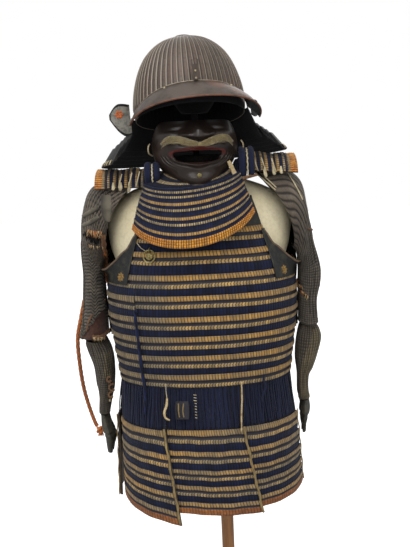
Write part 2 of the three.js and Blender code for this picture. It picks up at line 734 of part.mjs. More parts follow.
// How far the face stands out of its plain oval: nose, cheeks, upper lip, lower lip and chin.
function relief(x, z) {
  const nose = z < 1458 ? 0 : 34 * swell(x, z < 1480 ? 24 : 17) * swell(Math.max(0, z - 1480), 30);
  const noseFoot = z < 1470 && z >= 1458 ? 0.62 : 1;
  const cheeks = 7 * swell(Math.abs(x) - 58, 24) * swell(z - 1466, 20);
  const upperLip = 6 * swell(x, 56) * swell(z - 1443, 9);
  const lowerLip = 7 * swell(x, 52) * swell(z - 1405, 8);
  const chin = 6 * swell(x, 40) * swell(z - 1372, 12);
  return nose * noseFoot + cheeks + upperLip + lowerLip + chin;
}
function maskPoint(column, rowIndex, inset) {
  const row = maskRows[rowIndex];
  const angle = radians(column * maskColumns.step);
  const x = (row.halfWidth - inset) * Math.sin(angle);
  const y = -40 - (row.halfDepth - inset) * Math.cos(angle) - relief(x, row.z);
  return new THREE.Vector3(x, y, row.z);
}

// A shell of cells: outer and inner faces, closed along every edge that has no neighbour.
function cellShell(pointAt, columns, rows, isOpen) {
  const positions = [];
  const quad = (a, b, c, d) => [a, b, c, a, c, d].forEach((p) => positions.push(p.x, p.y, p.z));
  const kept = (i, j) => i >= 0 && j >= 0 && i < columns && j < rows && !isOpen(i, j);
  for (let i = 0; i < columns; i++) {
    for (let j = 0; j < rows; j++) {
      if (!kept(i, j)) continue;
      const corners = [[i, j], [i + 1, j], [i + 1, j + 1], [i, j + 1]];
      const outer = corners.map(([column, row]) => pointAt(column, row, 0));
      const inner = corners.map(([column, row]) => pointAt(column, row, 1));
      quad(...outer);
      quad(inner[3], inner[2], inner[1], inner[0]);
      const beside = [[i, j - 1], [i + 1, j], [i, j + 1], [i - 1, j]];
      beside.forEach(([column, row], side) => {
        const next = (side + 1) % 4;
        if (!kept(column, row)) quad(outer[next], outer[side], inner[side], inner[next]);
      });
    }
  }
  return new THREE.BufferGeometry().setAttribute("position", new THREE.Float32BufferAttribute(positions, 3));
}
const maskWall = 3;
add(
  mask,
  "face_mask",
  cellShell(
    (i, j, side) => maskPoint(i - maskColumns.each, j, side * maskWall),
    maskColumns.each * 2,
    maskRows.length - 1,
    (i, j) =>
      j >= mouthRows[0] &&
      j <= mouthRows[1] &&
      Math.abs(i + 0.5 - maskColumns.each) < mouthHalfColumns - (j === mouthRows[1] ? 1 : 0),
  ),
  "maskIron",
);

// The moustache: two lobes of hair that lie on the upper lip and meet under the nose.
const moustacheTube = (points, radii) => {
  const curve = new THREE.CatmullRomCurve3(points.map(([x, y, z]) => new THREE.Vector3(x, y, z)));
  return sweep(
    stops(0, 1, 14).map((share) => {
      const middle = curve.getPoint(share);
      const radius = THREE.MathUtils.lerp(radii[0], radii[1], Math.abs(2 * share - 1) ** 1.5);
      return stops(0, 360, 8).slice(0, -1).map((degrees) => {
        const [up, out] = [Math.cos(radians(degrees)), Math.sin(radians(degrees))];
        return middle.clone().add(new THREE.Vector3(0, out * 3, up * radius));
      });
    }),
  );
};
add(
  mask,
  "moustache",
  moustacheTube([
    [-76, -108, 1455],
    [-62, -126, 1461],
    [-40, -139, 1459],
    [-18, -150, 1452],
    [0, -153, 1450],
    [18, -150, 1452],
    [40, -139, 1459],
    [62, -126, 1461],
    [76, -108, 1455],
  ], [5.5, 2.5]),
  "tanHair",
);

// A hook for the chin cord on each cheek.
for (const [side, mirror] of [["right", -1], ["left", 1]]) {
  const hookPath = new THREE.CatmullRomCurve3(
    [[94, -74, 1428], [102, -82, 1434], [103, -82, 1446], [99, -78, 1454]].map(
      ([x, y, z]) => new THREE.Vector3(mirror * x, y, z),
    ),
  );
  add(mask, `cheek_hook_${side}`, rod(hookPath, 1.6, 8), "brass");
}

// The throat guard hangs from the mask's lower edge: five laced lames, each wider than the last.
const throat = { middle: -12, end: 70, sag: 19, gather: 0.26, lean: 5.5, heads: [1360.2, 1330, 1300, 1268], hem: 1237 };
const throatRows = [
  { z: 1237, halfWidth: 138, halfDepth: 76, middleY: -98 },
  { z: 1268, halfWidth: 132, halfDepth: 67, middleY: -95 },
  { z: 1300, halfWidth: 125, halfDepth: 58, middleY: -91 },
  { z: 1330, halfWidth: 117, halfDepth: 50, middleY: -86 },
  { z: 1354, halfWidth: 110, halfDepth: 43, middleY: -80 },
];
const throatPoint = (degrees, z, out) => {
  const row = rowAt(throatRows, "z", z);
  const towardsEnd = (1 - Math.cos(radians(degrees))) / (1 - Math.cos(radians(throat.end)));
  const rise = (throat.sag + throat.gather * (throat.heads[0] - z)) * towardsEnd; // lames close up at the ends
  const point = ovalPoint(degrees, row.halfWidth, row.halfDepth, z + rise, out, 2);
  point.z += point.x * Math.tan(radians(throat.lean));
  return point.add(new THREE.Vector3(throat.middle, row.middleY, 0));
};
const throatFoot = (i) => (throat.heads[i + 1] ?? throat.hem - 1) + 1;
const throatSection = [
  ...throat.heads.flatMap((z, i) => [
    [z, 3.5],
    [throatFoot(i), 1],
  ]),
  [throat.hem, 1 - 2.6],
  [throat.heads[0], 1 - 2.6],
];
add(figure, "throat_guard", wall(throatPoint, stops(-throat.end, throat.end, 20), throatSection), "navyLacing");

// ---------- helmet rest ----------
add(
  figure,
  "helmet_rest",
  turned([
    [0, post.top + seamGap],
    [30, post.top + seamGap],
    [58, 1570],
    [64, 1610],
    [56, 1645],
    [34, 1666],
    [0, 1673],
  ], 24),
  "blackWood",
);

// ---------- chest ring ----------
// The ring hangs from a staple beside a rosette, and swings out and up on it.
const chestRing = { angle: -31.5, z: 1215, out: 6.2, radius: 13.5, rod: 1.6, slope: -12 };
const ringPlace = trunkPoint(chestRing.angle, chestRing.z, chestRing.out);
const ringOut = trunkPoint(chestRing.angle, chestRing.z, chestRing.out + 1).sub(ringPlace);
const ringFrame = new THREE.Group();
ringFrame.position.copy(ringPlace);
ringFrame.rotation.set(0, 0, Math.atan2(ringOut.x, -ringOut.y));
figure.add(ringFrame);
const ringLean = new THREE.Group();
ringLean.rotation.set(radians(chestRing.slope), 0, 0);
ringFrame.add(ringLean);
add(
  ringLean,
  "chest_ring",
  new THREE.TorusGeometry(chestRing.radius, chestRing.rod, 6, 24).rotateX(Math.PI / 2),
  "brass",
);
add(
  ringLean,
  "chest_rosette",
  turned([
    [0, 0],
    [7.6, 0],
    [8, 1],
    [6.6, 2.6],
    [4.4, 3],
    [3.6, 5],
    [0, 5.6],
  ], 16).rotateX(Math.PI / 2).translate(0, 1.6, 0),
  "brass",
);
const staplePath = new THREE.CatmullRomCurve3(
  [[0, 2.2, 18.6], [0, -1.6, 17.4], [0, -3.4, 13.6], [0, -1.6, 9.9], [0, 1.4, 9.4]].map(
    ([x, y, z]) => new THREE.Vector3(x, y, z),
  ),
);
add(ringLean, "chest_staple", rod(staplePath, 0.9, 8), "brass");

// ---------- cords ----------
// A blue cord ties the side seam and hangs below it, and an orange one hangs behind the wearer's right arm.
const blueCordRadius = 2.2;
const blueCordPath = new THREE.CatmullRomCurve3(
  [
    [-38.6, 1100, 7.4],
    [-39.2, 1084, 8.4],
    [-39.6, 1050, 7.6],
    [-39.8, 1010, 7.6],
    [-40.4, 960, 7.6],
    [-40, 925, 8.4],
    [-39.2, 895, 10.5],
    [-38.8, 866, 12.5],
  ].map(([degrees, z, out]) => trunkPoint(degrees, z, out)),
);
add(figure, "blue_cord", rod(blueCordPath, blueCordRadius, 24), "navyLacing");

const orangeCordRadius = 4.6;
const orangeCordPath = new THREE.CatmullRomCurve3(
  [
    [-252, 68, 1168],
    [-262, 68, 1148],
    [-276, 62, 1112],
    [-292, 56, 1050],
    [-302, 50, 1000],
    [-300, 44, 940],
    [-294, 40, 885],
    [-283, 30, 842],
    [-270, 18, 806],
    [-264, 12, 796],
  ].map(([x, y, z]) => new THREE.Vector3(x, y, z)),
);
add(figure, "orange_cord", rod(orangeCordPath, orangeCordRadius, 30), "orangeCord");
add(
  figure,
  "orange_cord_knot",
  new THREE.SphereGeometry(8, 12, 8).scale(0.9, 0.9, 1.1).translate(-256.5, 7, 787),
  "orangeCord",
);

export default armour;
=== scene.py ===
import math

import bmesh
import bpy
import numpy as np
from mathutils import Matrix, Vector


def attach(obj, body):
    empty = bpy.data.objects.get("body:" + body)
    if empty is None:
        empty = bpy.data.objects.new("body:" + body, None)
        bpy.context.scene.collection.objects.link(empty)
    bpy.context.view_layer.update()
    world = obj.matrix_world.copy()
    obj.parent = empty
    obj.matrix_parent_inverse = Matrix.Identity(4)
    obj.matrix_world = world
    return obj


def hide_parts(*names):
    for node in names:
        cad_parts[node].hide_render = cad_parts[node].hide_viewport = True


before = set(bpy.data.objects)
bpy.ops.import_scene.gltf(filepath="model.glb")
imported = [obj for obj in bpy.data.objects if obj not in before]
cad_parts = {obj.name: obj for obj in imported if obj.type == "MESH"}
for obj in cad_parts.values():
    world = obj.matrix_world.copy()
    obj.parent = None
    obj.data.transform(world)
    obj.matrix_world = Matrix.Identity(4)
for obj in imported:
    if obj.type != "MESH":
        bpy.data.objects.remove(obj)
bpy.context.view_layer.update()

mm = 0.001
figureShift = -36.0  # the form and the armour stand this far to the left of the pole

print("stage: camera and light")
cameraSettings = {"place": (-0.028, -2.0, 1.470), "pitchDown": 9.0, "roll": -2.5, "lens": 57.9}
cameraData = bpy.data.cameras.new("studioCamera")
cameraData.lens = cameraSettings["lens"]
cameraData.sensor_width = 36.0
camera = bpy.data.objects.new("studioCamera", cameraData)
bpy.context.scene.collection.objects.link(camera)
camera.matrix_world = (
    Matrix.Translation(cameraSettings["place"])
    @ Matrix.Rotation(math.radians(90 - cameraSettings["pitchDown"]), 4, "X")
    @ Matrix.Rotation(math.radians(cameraSettings["roll"]), 4, "Z")
)
bpy.context.scene.camera = camera
bpy.context.scene.view_settings.view_transform = "Standard"

lights = [
    {"name": "topSoftbox", "place": (-0.5, -1.3, 3.4), "aim": (-0.04, 0.0, 1.2), "size": 1.8, "power": 24},
    {"name": "frontSoftbox", "place": (-1.3, -2.9, 2.1), "aim": (-0.04, 0.0, 1.15), "size": 1.6, "power": 16},
    {"name": "rightSoftbox", "place": (1.9, -1.9, 1.9), "aim": (-0.04, 0.0, 1.1), "size": 1.4, "power": 6},
    {"name": "backSoftbox", "place": (0.4, 2.4, 2.6), "aim": (-0.04, 0.0, 1.2), "size": 1.8, "power": 12},
]
for light in lights:
    lightData = bpy.data.lights.new(light["name"], "AREA")
    lightData.shape = "SQUARE"
    lightData.size = light["size"]
    lightData.energy = light["power"]
    lamp = bpy.data.objects.new(light["name"], lightData)
    lamp.location = light["place"]
    lamp.rotation_euler = (Vector(light["aim"]) - lamp.location).to_track_quat("-Z", "Y").to_euler()
    bpy.context.scene.collection.objects.link(lamp)


# ---- shader helpers
def place(tree, kind, inputs=None, **settings):
    made = tree.nodes.new(kind)
    for key, value in settings.items():
        setattr(made, key, value)
    for key, value in (inputs or {}).items():
        socket = made.inputs[key]
        if isinstance(value, bpy.types.NodeSocket):
            tree.links.new(value, socket)
        elif value is not None:
            socket.default_value = value
    return made


def maths(tree, operation, first, second=None, third=None, clamp=False):
    made = place(tree, "ShaderNodeMath", {0: first}, operation=operation, use_clamp=clamp)
    for number, value in ((1, second), (2, third)):
        if isinstance(value, bpy.types.NodeSocket):
            tree.links.new(value, made.inputs[number])
        elif value is not None:
            made.inputs[number].default_value = value
    return made.outputs[0]


def mixed(tree, factor, first, second, blend="MIX"):
    made = place(tree, "ShaderNodeMix", {0: factor, 6: first, 7: second}, data_type="RGBA", blend_type=blend)
    return made.outputs[2]


def remap(tree, value, low, high, outLow=0.0, outHigh=1.0):
    made = place(
        tree,
        "ShaderNodeMapRange",
        {"Value": value, "From Min": low, "From Max": high, "To Min": outLow, "To Max": outHigh},
    )
    return made.outputs["Result"]


def rgb(text, alpha=1.0):
    channels = [int(text[i : i + 2], 16) / 255 for i in (0, 2, 4)]
    return tuple(c / 12.92 if c <= 0.04045 else ((c + 0.055) / 1.055) ** 2.4 for c in channels) + (alpha,)


def effectGroup(name, inputs, outputs):
    tree = bpy.data.node_groups.new(name, "ShaderNodeTree")
    for label, kind, value in inputs:
        socket = tree.interface.new_socket(name=label, in_out="INPUT", socket_type=kind)
        if value is not None:
            socket.default_value = value
    for label, kind in outputs:
        tree.interface.new_socket(name=label, in_out="OUTPUT", socket_type=kind)
    return tree, tree.nodes.new("NodeGroupInput").outputs, tree.nodes.new("NodeGroupOutput").inputs


# soft patches on the surface, from 0 to 1
patches, taken, given = effectGroup(
    "patches",
    [("Scale", "NodeSocketFloat", 20.0), ("Detail", "NodeSocketFloat", 3.0), ("Low", "NodeSocketFloat", 0.4),
     ("High", "NodeSocketFloat", 0.6), ("Stretch", "NodeSocketVector", (1.0, 1.0, 1.0))],
    [("Mask", "NodeSocketFloat"), ("Noise", "NodeSocketFloat")],
)
where = place(patches, "ShaderNodeTexCoord").outputs["Object"]
stretched = place(patches, "ShaderNodeVectorMath", {0: where, 1: taken["Stretch"]}, operation="MULTIPLY").outputs[0]
noise = place(patches, "ShaderNodeTexNoise", {"Vector": stretched, "Scale": taken["Scale"], "Detail": taken["Detail"]})
patchMask = place(
    patches,
    "ShaderNodeMapRange",
    {"Value": noise.outputs["Fac"], "From Min": taken["Low"], "From Max": taken["High"]},
    interpolation_type="SMOOTHSTEP",
)
patches.links.new(patchMask.outputs["Result"], given["Mask"])
patches.links.new(noise.outputs["Fac"], given["Noise"])

# braid counted along a row: U counts the grains, V counts the bands
grains, taken, given = effectGroup(
    "grains",
    [("Gap", "NodeSocketFloat", 0.2), ("Seed", "NodeSocketFloat", 0.0)],
    [("Gap", "NodeSocketFloat"), ("Random", "NodeSocketFloat"), ("Down", "NodeSocketFloat"),
     ("Across", "NodeSocketFloat")],
)
mapped = place(grains, "ShaderNodeUVMap", uv_map="lay").outputs["UV"]
parts = place(grains, "ShaderNodeSeparateXYZ", {0: mapped}).outputs
across = maths(grains, "FRACT", parts["X"])
fromEdge = maths(grains, "SUBTRACT", 0.5, maths(grains, "ABSOLUTE", maths(grains, "SUBTRACT", across, 0.5)))
gap = place(
    grains,
    "ShaderNodeMapRange",
    {"Value": fromEdge, "From Min": 0.0, "From Max": taken["Gap"], "To Min": 1.0, "To Max": 0.0},
    interpolation_type="SMOOTHSTEP",
).outputs["Result"]
cell = place(
    grains,
    "ShaderNodeCombineXYZ",
    {"X": maths(grains, "FLOOR", parts["X"]), "Y": maths(grains, "FLOOR", parts["Y"]), "Z": taken["Seed"]},
).outputs[0]
chance = place(grains, "ShaderNodeTexWhiteNoise", {"Vector": cell}, noise_dimensions="3D").outputs["Value"]
grains.links.new(gap, given["Gap"])
grains.links.new(chance, given["Random"])
grains.links.new(maths(grains, "FRACT", parts["Y"]), given["Down"])
grains.links.new(across, given["Across"])

# fine threads of a weave, as a height from 0 to 1
weave, taken, given = effectGroup(
    "weave",
    [("Threads", "NodeSocketFloat", 900.0), ("Turn", "NodeSocketFloat", 0.0)],
    [("Height", "NodeSocketFloat")],
)
where = place(weave, "ShaderNodeTexCoord").outputs["Object"]
turned = place(weave, "ShaderNodeVectorRotate", {"Vector": where, "Angle": taken["Turn"]}, rotation_type="Y_AXIS").outputs[0]
scaled = place(weave, "ShaderNodeVectorMath", {0: turned, "Scale": taken["Threads"]}, operation="SCALE").outputs[0]
along = place(weave, "ShaderNodeSeparateXYZ", {0: scaled}).outputs
waveX = maths(weave, "SINE", maths(weave, "ADD", along["X"], along["Y"]))
waveZ = maths(weave, "SINE", along["Z"])
weave.links.new(maths(weave, "MULTIPLY_ADD", maths(weave, "MULTIPLY", waveX, waveZ), 0.5, 0.5), given["Height"])


def effect(tree, group, **values):
    made = tree.nodes.new("ShaderNodeGroup")
    made.node_tree = group
    for key, value in values.items():
        if isinstance(value, bpy.types.NodeSocket):
            tree.links.new(value, made.inputs[key])
        else:
            made.inputs[key].default_value = value
    return made.outputs


def material(name, roughness=0.8, metallic=0.0, sheen=0.0, coat=0.0, specular=0.5):
    made = bpy.data.materials.new(name)
    made.use_nodes = True
    tree = made.node_tree
    shader = tree.nodes["Principled BSDF"]
    shader.inputs["Roughness"].default_value = roughness
    shader.inputs["Metallic"].default_value = metallic
    shader.inputs["Sheen Weight"].default_value = sheen
    shader.inputs["Coat Weight"].default_value = coat
    shader.inputs["Specular IOR Level"].default_value = specular
    return made, tree, shader


def paint(tree, shader, color, height=None, strength=0.3, distance=0.001, roughness=None):
    tree.links.new(color, shader.inputs["Base Color"])
    if roughness is not None:
        tree.links.new(roughness, shader.inputs["Roughness"])
    if height is not None:
        bump = place(tree, "ShaderNodeBump", {"Height": height, "Strength": strength, "Distance": distance})
        tree.links.new(bump.outputs["Normal"], shader.inputs["Normal"])


def toneOf(tree):
    return place(tree, "ShaderNodeAttribute", attribute_name="tone").outputs["Fac"]


print("stage: materials")


# braided rows: bright and faded colours are blended by the piece's own "tone"
def braid(name, bright, faded, gapColor, gapWidth=0.22, topShade=0.35, seed=0.0, spread=0.5):
    made, tree, shader = material(name, 0.85, sheen=0.15)
    row = effect(tree, grains, Gap=gapWidth, Seed=seed)
    worn = effect(tree, patches, Scale=28.0, Low=0.35, High=0.7)["Mask"]
    base = mixed(tree, toneOf(tree), rgb(bright), rgb(faded))
    base = mixed(tree, maths(tree, "MULTIPLY", worn, 0.45), base, rgb(faded))
    light = remap(tree, row["Random"], 0.0, 1.0, 1.0 - spread * 0.5, 1.0 + spread * 0.45)
    lit = place(tree, "ShaderNodeVectorMath", {0: base, "Scale": light}, operation="SCALE").outputs[0]
    upper = remap(tree, row["Down"], 0.0, 0.55, topShade, 0.0)
    lit = mixed(tree, upper, lit, rgb(gapColor))
    threads = effect(tree, patches, Scale=1400.0, Detail=2.0, Low=0.3, High=0.7)["Mask"]
    lit = mixed(tree, maths(tree, "MULTIPLY", threads, 0.22), lit, rgb(gapColor))
    # painted shade: the gaps between grains are mixed towards the dark gap colour as the shadow in the valleys of the
    # braid
    color = mixed(tree, maths(tree, "MULTIPLY", row["Gap"], 0.92), lit, rgb(gapColor))
    paint(tree, shader, color, threads, 0.35, 0.0006)
    return made


tanBraid = braid("tanBraid", "cf9f55", "958160", "20170f")
thinBraid = braid("thinBraid", "cfa968", "948466", "161318", gapWidth=0.3, topShade=0.15, seed=3.0, spread=0.7)
hemBraid = braid("hemBraid", "e8a53c", "c87c32", "35190a", gapWidth=0.36, topShade=0.1, seed=5.0)
rustHem = braid("rustHem", "b9763a", "8d5630", "3a2013", gapWidth=0.18, topShade=0.1, seed=7.0)
dottedBraid = braid("dottedBraid", "c8ae7c", "8d7f62", "12131d", gapWidth=0.42, topShade=0.1, seed=9.0, spread=0.8)


def silkLacing(name, bright, dark, seed=0.0, gapWidth=0.2):
    made, tree, shader = material(name, 0.85, sheen=0.08, specular=0.3)
    row = effect(tree, grains, Gap=gapWidth, Seed=seed)
    base = mixed(tree, row["Random"], rgb(dark), rgb(bright))
    faded = effect(tree, patches, Scale=24.0, Low=0.5, High=0.78)["Mask"]
    base = mixed(tree, maths(tree, "MULTIPLY", faded, 0.3), base, rgb("2c3450"))
    threads = effect(tree, patches, Scale=900.0, Detail=2.0, Low=0.3, High=0.7, Stretch=(1.0, 1.0, 0.25))["Mask"]
    base = mixed(tree, maths(tree, "MULTIPLY", threads, 0.35), base, rgb("0c0f1e"))
    # painted shade: the gaps between grains are mixed towards near black as the shadow in the valleys of the lacing
    color = mixed(tree, maths(tree, "MULTIPLY", row["Gap"], 0.85), base, rgb("070812"))
    paint(tree, shader, color, threads, 0.5, 0.0008)
    return made


navyLacing = silkLacing("navyLacing", "182040", "0c1128")
navyCord = silkLacing("navyCord", "162148", "0c1230", 2.0, 0.3)


shadowLacing = silkLacing("shadowLacing", "151b33", "0b1022", 4.0)


def speckled(name, base, spots, roughness=0.6, scale=60.0, amount=0.5, metallic=0.0, coat=0.0, fine=600.0,
             bump=0.25, second=None, sheen=0.0):
    made, tree, shader = material(name, roughness, metallic, coat=coat, sheen=sheen)
    first = effect(tree, patches, Scale=scale, Low=0.42, High=0.64)["Mask"]
    color = mixed(tree, maths(tree, "MULTIPLY", first, amount), rgb(base), rgb(spots))
    if second:
        rare = effect(tree, patches, Scale=scale * 0.31, Low=0.56, High=0.7)["Mask"]
        color = mixed(tree, maths(tree, "MULTIPLY", rare, 0.7), color, rgb(second))
    grit = effect(tree, patches, Scale=fine, Detail=3.0, Low=0.3, High=0.7)["Mask"]
    rough = maths(tree, "MULTIPLY_ADD", grit, 0.2, roughness - 0.1)
    paint(tree, shader, color, grit, bump, 0.0005, rough)
    return made


lameLacquer = speckled("lameLacquer", "171522", "26222b", 0.55)
innerLacquer = speckled("innerLacquer", "2a1a14", "3a261c", 0.6)
blackLacquer = speckled("blackLacquer", "0a0909", "171310", 0.6, second="2a241e")
darkLeather = speckled("darkLeather", "272724", "3c3a34", 0.65, 90.0, 0.6, second="4a463b", bump=0.5)
plateLeather = speckled("plateLeather", "1d1e1f", "32322c", 0.6, 130.0, 0.6, bump=0.6, second="403d32")
bindingLeather = speckled("bindingLeather", "8f7a50", "6a5636", 0.75, 120.0, 0.6, second="b39a5e", bump=0.6)
blackPaint = speckled("blackPaint", "060505", "0b0908", 0.95)
agedBrass = speckled("agedBrass", "a5965f", "5f573c", 0.4, 300.0, 0.6, metallic=0.6, second="d0bf85")
creamThread = speckled("creamThread", "cdbf9c", "9d9072", 0.9)
hornPale = speckled("hornPale", "b7a67c", "8d7c58", 0.6)

# ---- shape helpers


def oval(degrees, halfWidth, halfDepth, out=0.0, squareness=2.3):
    sine, cosine = np.sin(np.radians(degrees)), np.cos(np.radians(degrees))
    x = halfWidth * np.sign(sine) * np.abs(sine) ** (2 / squareness)
    y = -halfDepth * np.sign(cosine) * np.abs(cosine) ** (2 / squareness)
    normalX = np.sign(x) * np.abs(x / halfWidth) ** (squareness - 1) / halfWidth
    normalY = np.sign(y) * np.abs(y / halfDepth) ** (squareness - 1) / halfDepth
    length = np.hypot(normalX, normalY)
    return x + normalX / length * out, y + normalY / length * out


# sections of the laced body from the skirt up: height, half width, half depth
trunkSections = np.array([
    [650, 199, 192], [838, 198, 156], [920, 194, 138], [953, 198, 140], [996, 204, 143], [1039, 209, 146],
    [1083, 214, 147], [1129, 214, 146], [1190, 200, 140], [1240, 181, 129], [1290, 163, 116], [1345, 140, 98],
])


def trunk(degrees, z, out):
    width = np.interp(z, trunkSections[:, 0], trunkSections[:, 1])
    depth = np.interp(z, trunkSections[:, 0], trunkSections[:, 2])
    x, y = oval(degrees, width, depth, out)
    return np.stack([x, y, z + 0 * x], axis=-1)


# degrees at equal steps of length round the body
ringDegrees = np.linspace(-360, 720, 4321)
ringX, ringY = oval(ringDegrees, 199.0, 170.0)
ringLength = np.concatenate([[0], np.cumsum(np.hypot(np.diff(ringX), np.diff(ringY)))])
ringLength -= np.interp(0, ringDegrees, ringLength)


def degreesBetween(start, end, share):
    low, high = np.interp([start, end], ringDegrees, ringLength)
    return np.interp(low + (high - low) * share, ringLength, ringDegrees)


def linkPiece(mesh, slotName, *nodes, body="armour", smooth=180):
    if smooth < 180:
        mesh.set_sharp_from_angle(angle=math.radians(smooth))
    piece = bpy.data.objects.new(mesh.name, mesh)
    bpy.context.scene.collection.objects.link(piece)
    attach(piece, body)
    if nodes:
        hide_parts(*nodes)
    return piece


def meshFrom(bm, name, materials, recalc=True):
    if recalc:
        bmesh.ops.recalc_face_normals(bm, faces=bm.faces)
    mesh = bpy.data.meshes.new(name)
    bm.to_mesh(mesh)
    bm.free()
    for used in materials:
        mesh.materials.append(used)
    mesh.shade_smooth()
    return mesh


# A grid of "across" by "down" faces whose corners are placed, in millimetres, by placeAt(share across, share down).
# layAt gives each corner's place in the lay of the braid, toneAt how faded it is, and bandAt each face's material.
def gridMesh(name, across, down, placeAt, materials, layAt=None, toneAt=None, bandAt=None, weld=True, caps=False):
    bm = bmesh.new()
    bmesh.ops.create_grid(bm, x_segments=across, y_segments=down, size=1.0)
    mesh = bpy.data.meshes.new(name)
    bm.to_mesh(mesh)
    flat = np.empty(len(mesh.vertices) * 3)
    mesh.vertices.foreach_get("co", flat)
    share = (flat.reshape(-1, 3)[:, :2] + 1) / 2
    column = np.rint(share[:, 0] * across).astype(int)
    row = np.rint(share[:, 1] * down).astype(int)
    points = placeAt(column, row)
    mesh.vertices.foreach_set("co", (points * mm).ravel())
    if layAt is not None:
        corner = np.empty(len(mesh.loops), dtype=int)
        mesh.loops.foreach_get("vertex_index", corner)
        lay = layAt(column, row)
        mesh.uv_layers.new(name="lay").data.foreach_set("uv", lay[corner].astype(float).ravel())
    if toneAt is not None:
        tone = mesh.attributes.new("tone", "FLOAT", "POINT")
        tone.data.foreach_set("value", np.clip(toneAt(column, row, points), 0, 1).astype(float))
    if bandAt is not None:
        starts = np.empty(len(mesh.polygons), dtype=int)
        mesh.polygons.foreach_get("loop_start", starts)
        corner = np.empty(len(mesh.loops), dtype=int)
        mesh.loops.foreach_get("vertex_index", corner)
        lowRow = np.minimum(row[corner[starts]], row[corner[starts + 2]])
        lowColumn = np.minimum(column[corner[starts]], column[corner[starts + 2]])
        mesh.polygons.foreach_set("material_index", bandAt(lowColumn, lowRow).astype(int))
    bm.free()
    bm = bmesh.new()
    bm.from_mesh(mesh)
    bpy.data.meshes.remove(mesh)
    if weld:
        bmesh.ops.remove_doubles(bm, verts=bm.verts, dist=0.00002)
        bmesh.ops.dissolve_degenerate(bm, edges=bm.edges, dist=0.000005)
    if caps:
        bmesh.ops.holes_fill(bm, edges=[edge for edge in bm.edges if edge.is_boundary], sides=0)
    return meshFrom(bm, name, materials)


# A laced wall. Each level of the profile is (down, out, bump, lean, lay, band): its distance below the head, how
# far it stands out, how high its grains are, how far they lean along the row, its place in the lay, and the material
# from there to the next level.
perGrain = 4


def lacedWall(name, grainCount, levels, surfaceAt, materials, seed, toneAt, closed=False, rough=0.35):
    table = np.array(levels, dtype=float)
    chance = np.random.default_rng(seed)
    heights = 1 + rough * (chance.random((len(levels), grainCount + 2)) - 0.5)
    drift = 0.7 * rough * (chance.random((len(levels), grainCount + 2)) - 0.5)
    columns = grainCount * perGrain

    def placeAt(column, row):
        level = table[row % len(levels)]
        grain = np.minimum(column // perGrain, grainCount - 1)
        within = (column % perGrain) / perGrain
        swell = np.abs(np.sin(np.pi * within)) ** 0.8
        isEnd = (column == 0) | (column == columns)
        lean = np.where(isEnd, 0, level[:, 3])
        share = (column / perGrain + lean) / grainCount
        out = level[:, 1] + level[:, 2] * swell * heights[row % len(levels), grain]
        down = level[:, 0] + np.sign(level[:, 2]) * drift[row % len(levels), grain] * swell
        return surfaceAt(share, down, out)

    def layAt(column, row):
        lay = np.where(row == len(levels), table[-1, 4] + 1, table[row % len(levels), 4])
        return np.stack([column / perGrain, lay], axis=-1)

    def toned(column, row, points):
        return toneAt(column / columns, table[row % len(levels), 0], points)

    return gridMesh(
        name, columns, len(levels), placeAt, materials, layAt, toned, lambda column, row: table[row, 5],
        caps=not closed,
    )


print("stage: laced cuirass")
tan, dark, thin, navy, inner = range(5)
laceMaterials = [tanBraid, lameLacquer, thinBraid, navyLacing, innerLacquer]
lame = {"headBraid": 11.5, "darkBand": 8.0, "thinBraid": 8.5, "tuck": 6.0, "grain": 6.5}


# levels of one lame: braided head, dark band, thin braid, then lacing that goes in behind the next head
def lameLevels(pitch, tuck=lame["tuck"], foot=0.2, band=0, back=True):
    top, gap = lame["headBraid"], lame["headBraid"] + lame["darkBand"]
    low = gap + lame["thinBraid"]
    end = pitch + tuck
    levels = [
        (0.0, 1.6, 0.0, 0.0, band, tan),
        (0.3, 3.6, 0.2, 0.0, band + 0.04, tan),
        (2.5, 4.2, 0.8, 0.02, band + 0.25, tan),
        (6.0, 4.2, 1.0, 0.06, band + 0.55, tan),
        (9.5, 4.3, 1.3, 0.14, band + 0.85, tan),
        (top, 3.4, 0.5, 0.2, band + 1, dark),
        (top + 0.8, 2.6, 0.1, 0.2, band + 1.05, dark),
        (gap - 0.6, 2.3, 0.1, 0.0, band + 1.95, dark),
        (gap, 2.9, 0.4, 0.35, band + 2, thin),
        (gap + 2.2, 3.2, 1.2, 0.1, band + 2.25, thin),
        (gap + 4.5, 3.2, 1.3, -0.05, band + 2.55, thin),
        (gap + 7.0, 3.1, 1.1, 0.12, band + 2.85, thin),
        (low, 2.4, 0.3, 0.0, band + 3, navy),
        (low + 2.0, 2.6, 0.7, 0.0, band + 3.15, navy),
        (0.5 * (low + pitch), 2.3, 0.8, 0.0, band + 3.5, navy),
        (pitch - 2.0, 1.2, 0.7, 0.0, band + 3.85, navy),
        (end, foot, 0.2, 0.0, band + 4, navy),
    ]
    if back:
        levels += [(end, foot - 3.0, 0.0, 0.0, band + 4.1, inner), (9.0, 0.6, 0.0, 0.0, band + 4.6, inner)]
    return levels


bodyHeads = [1174, 1129, 1083, 1039, 996, 953]
seamDegrees = -40.0


def bodyTone(share, down, points):
    x, z = points[:, 0], points[:, 2]
    side = np.clip((np.abs(x - 25) - 105) / 110, 0, 1)
    seam = np.clip((-x - 95) / 60, 0, 1) * 0.5
    low = np.clip((1100 - z) / 260, 0, 1) * 0.45
    patchy = 0.25 * np.sin(x * 0.031 + z * 0.09) * np.sin(x * 0.011 - z * 0.07)
    return 0.12 + 0.7 * side + seam + low + patchy


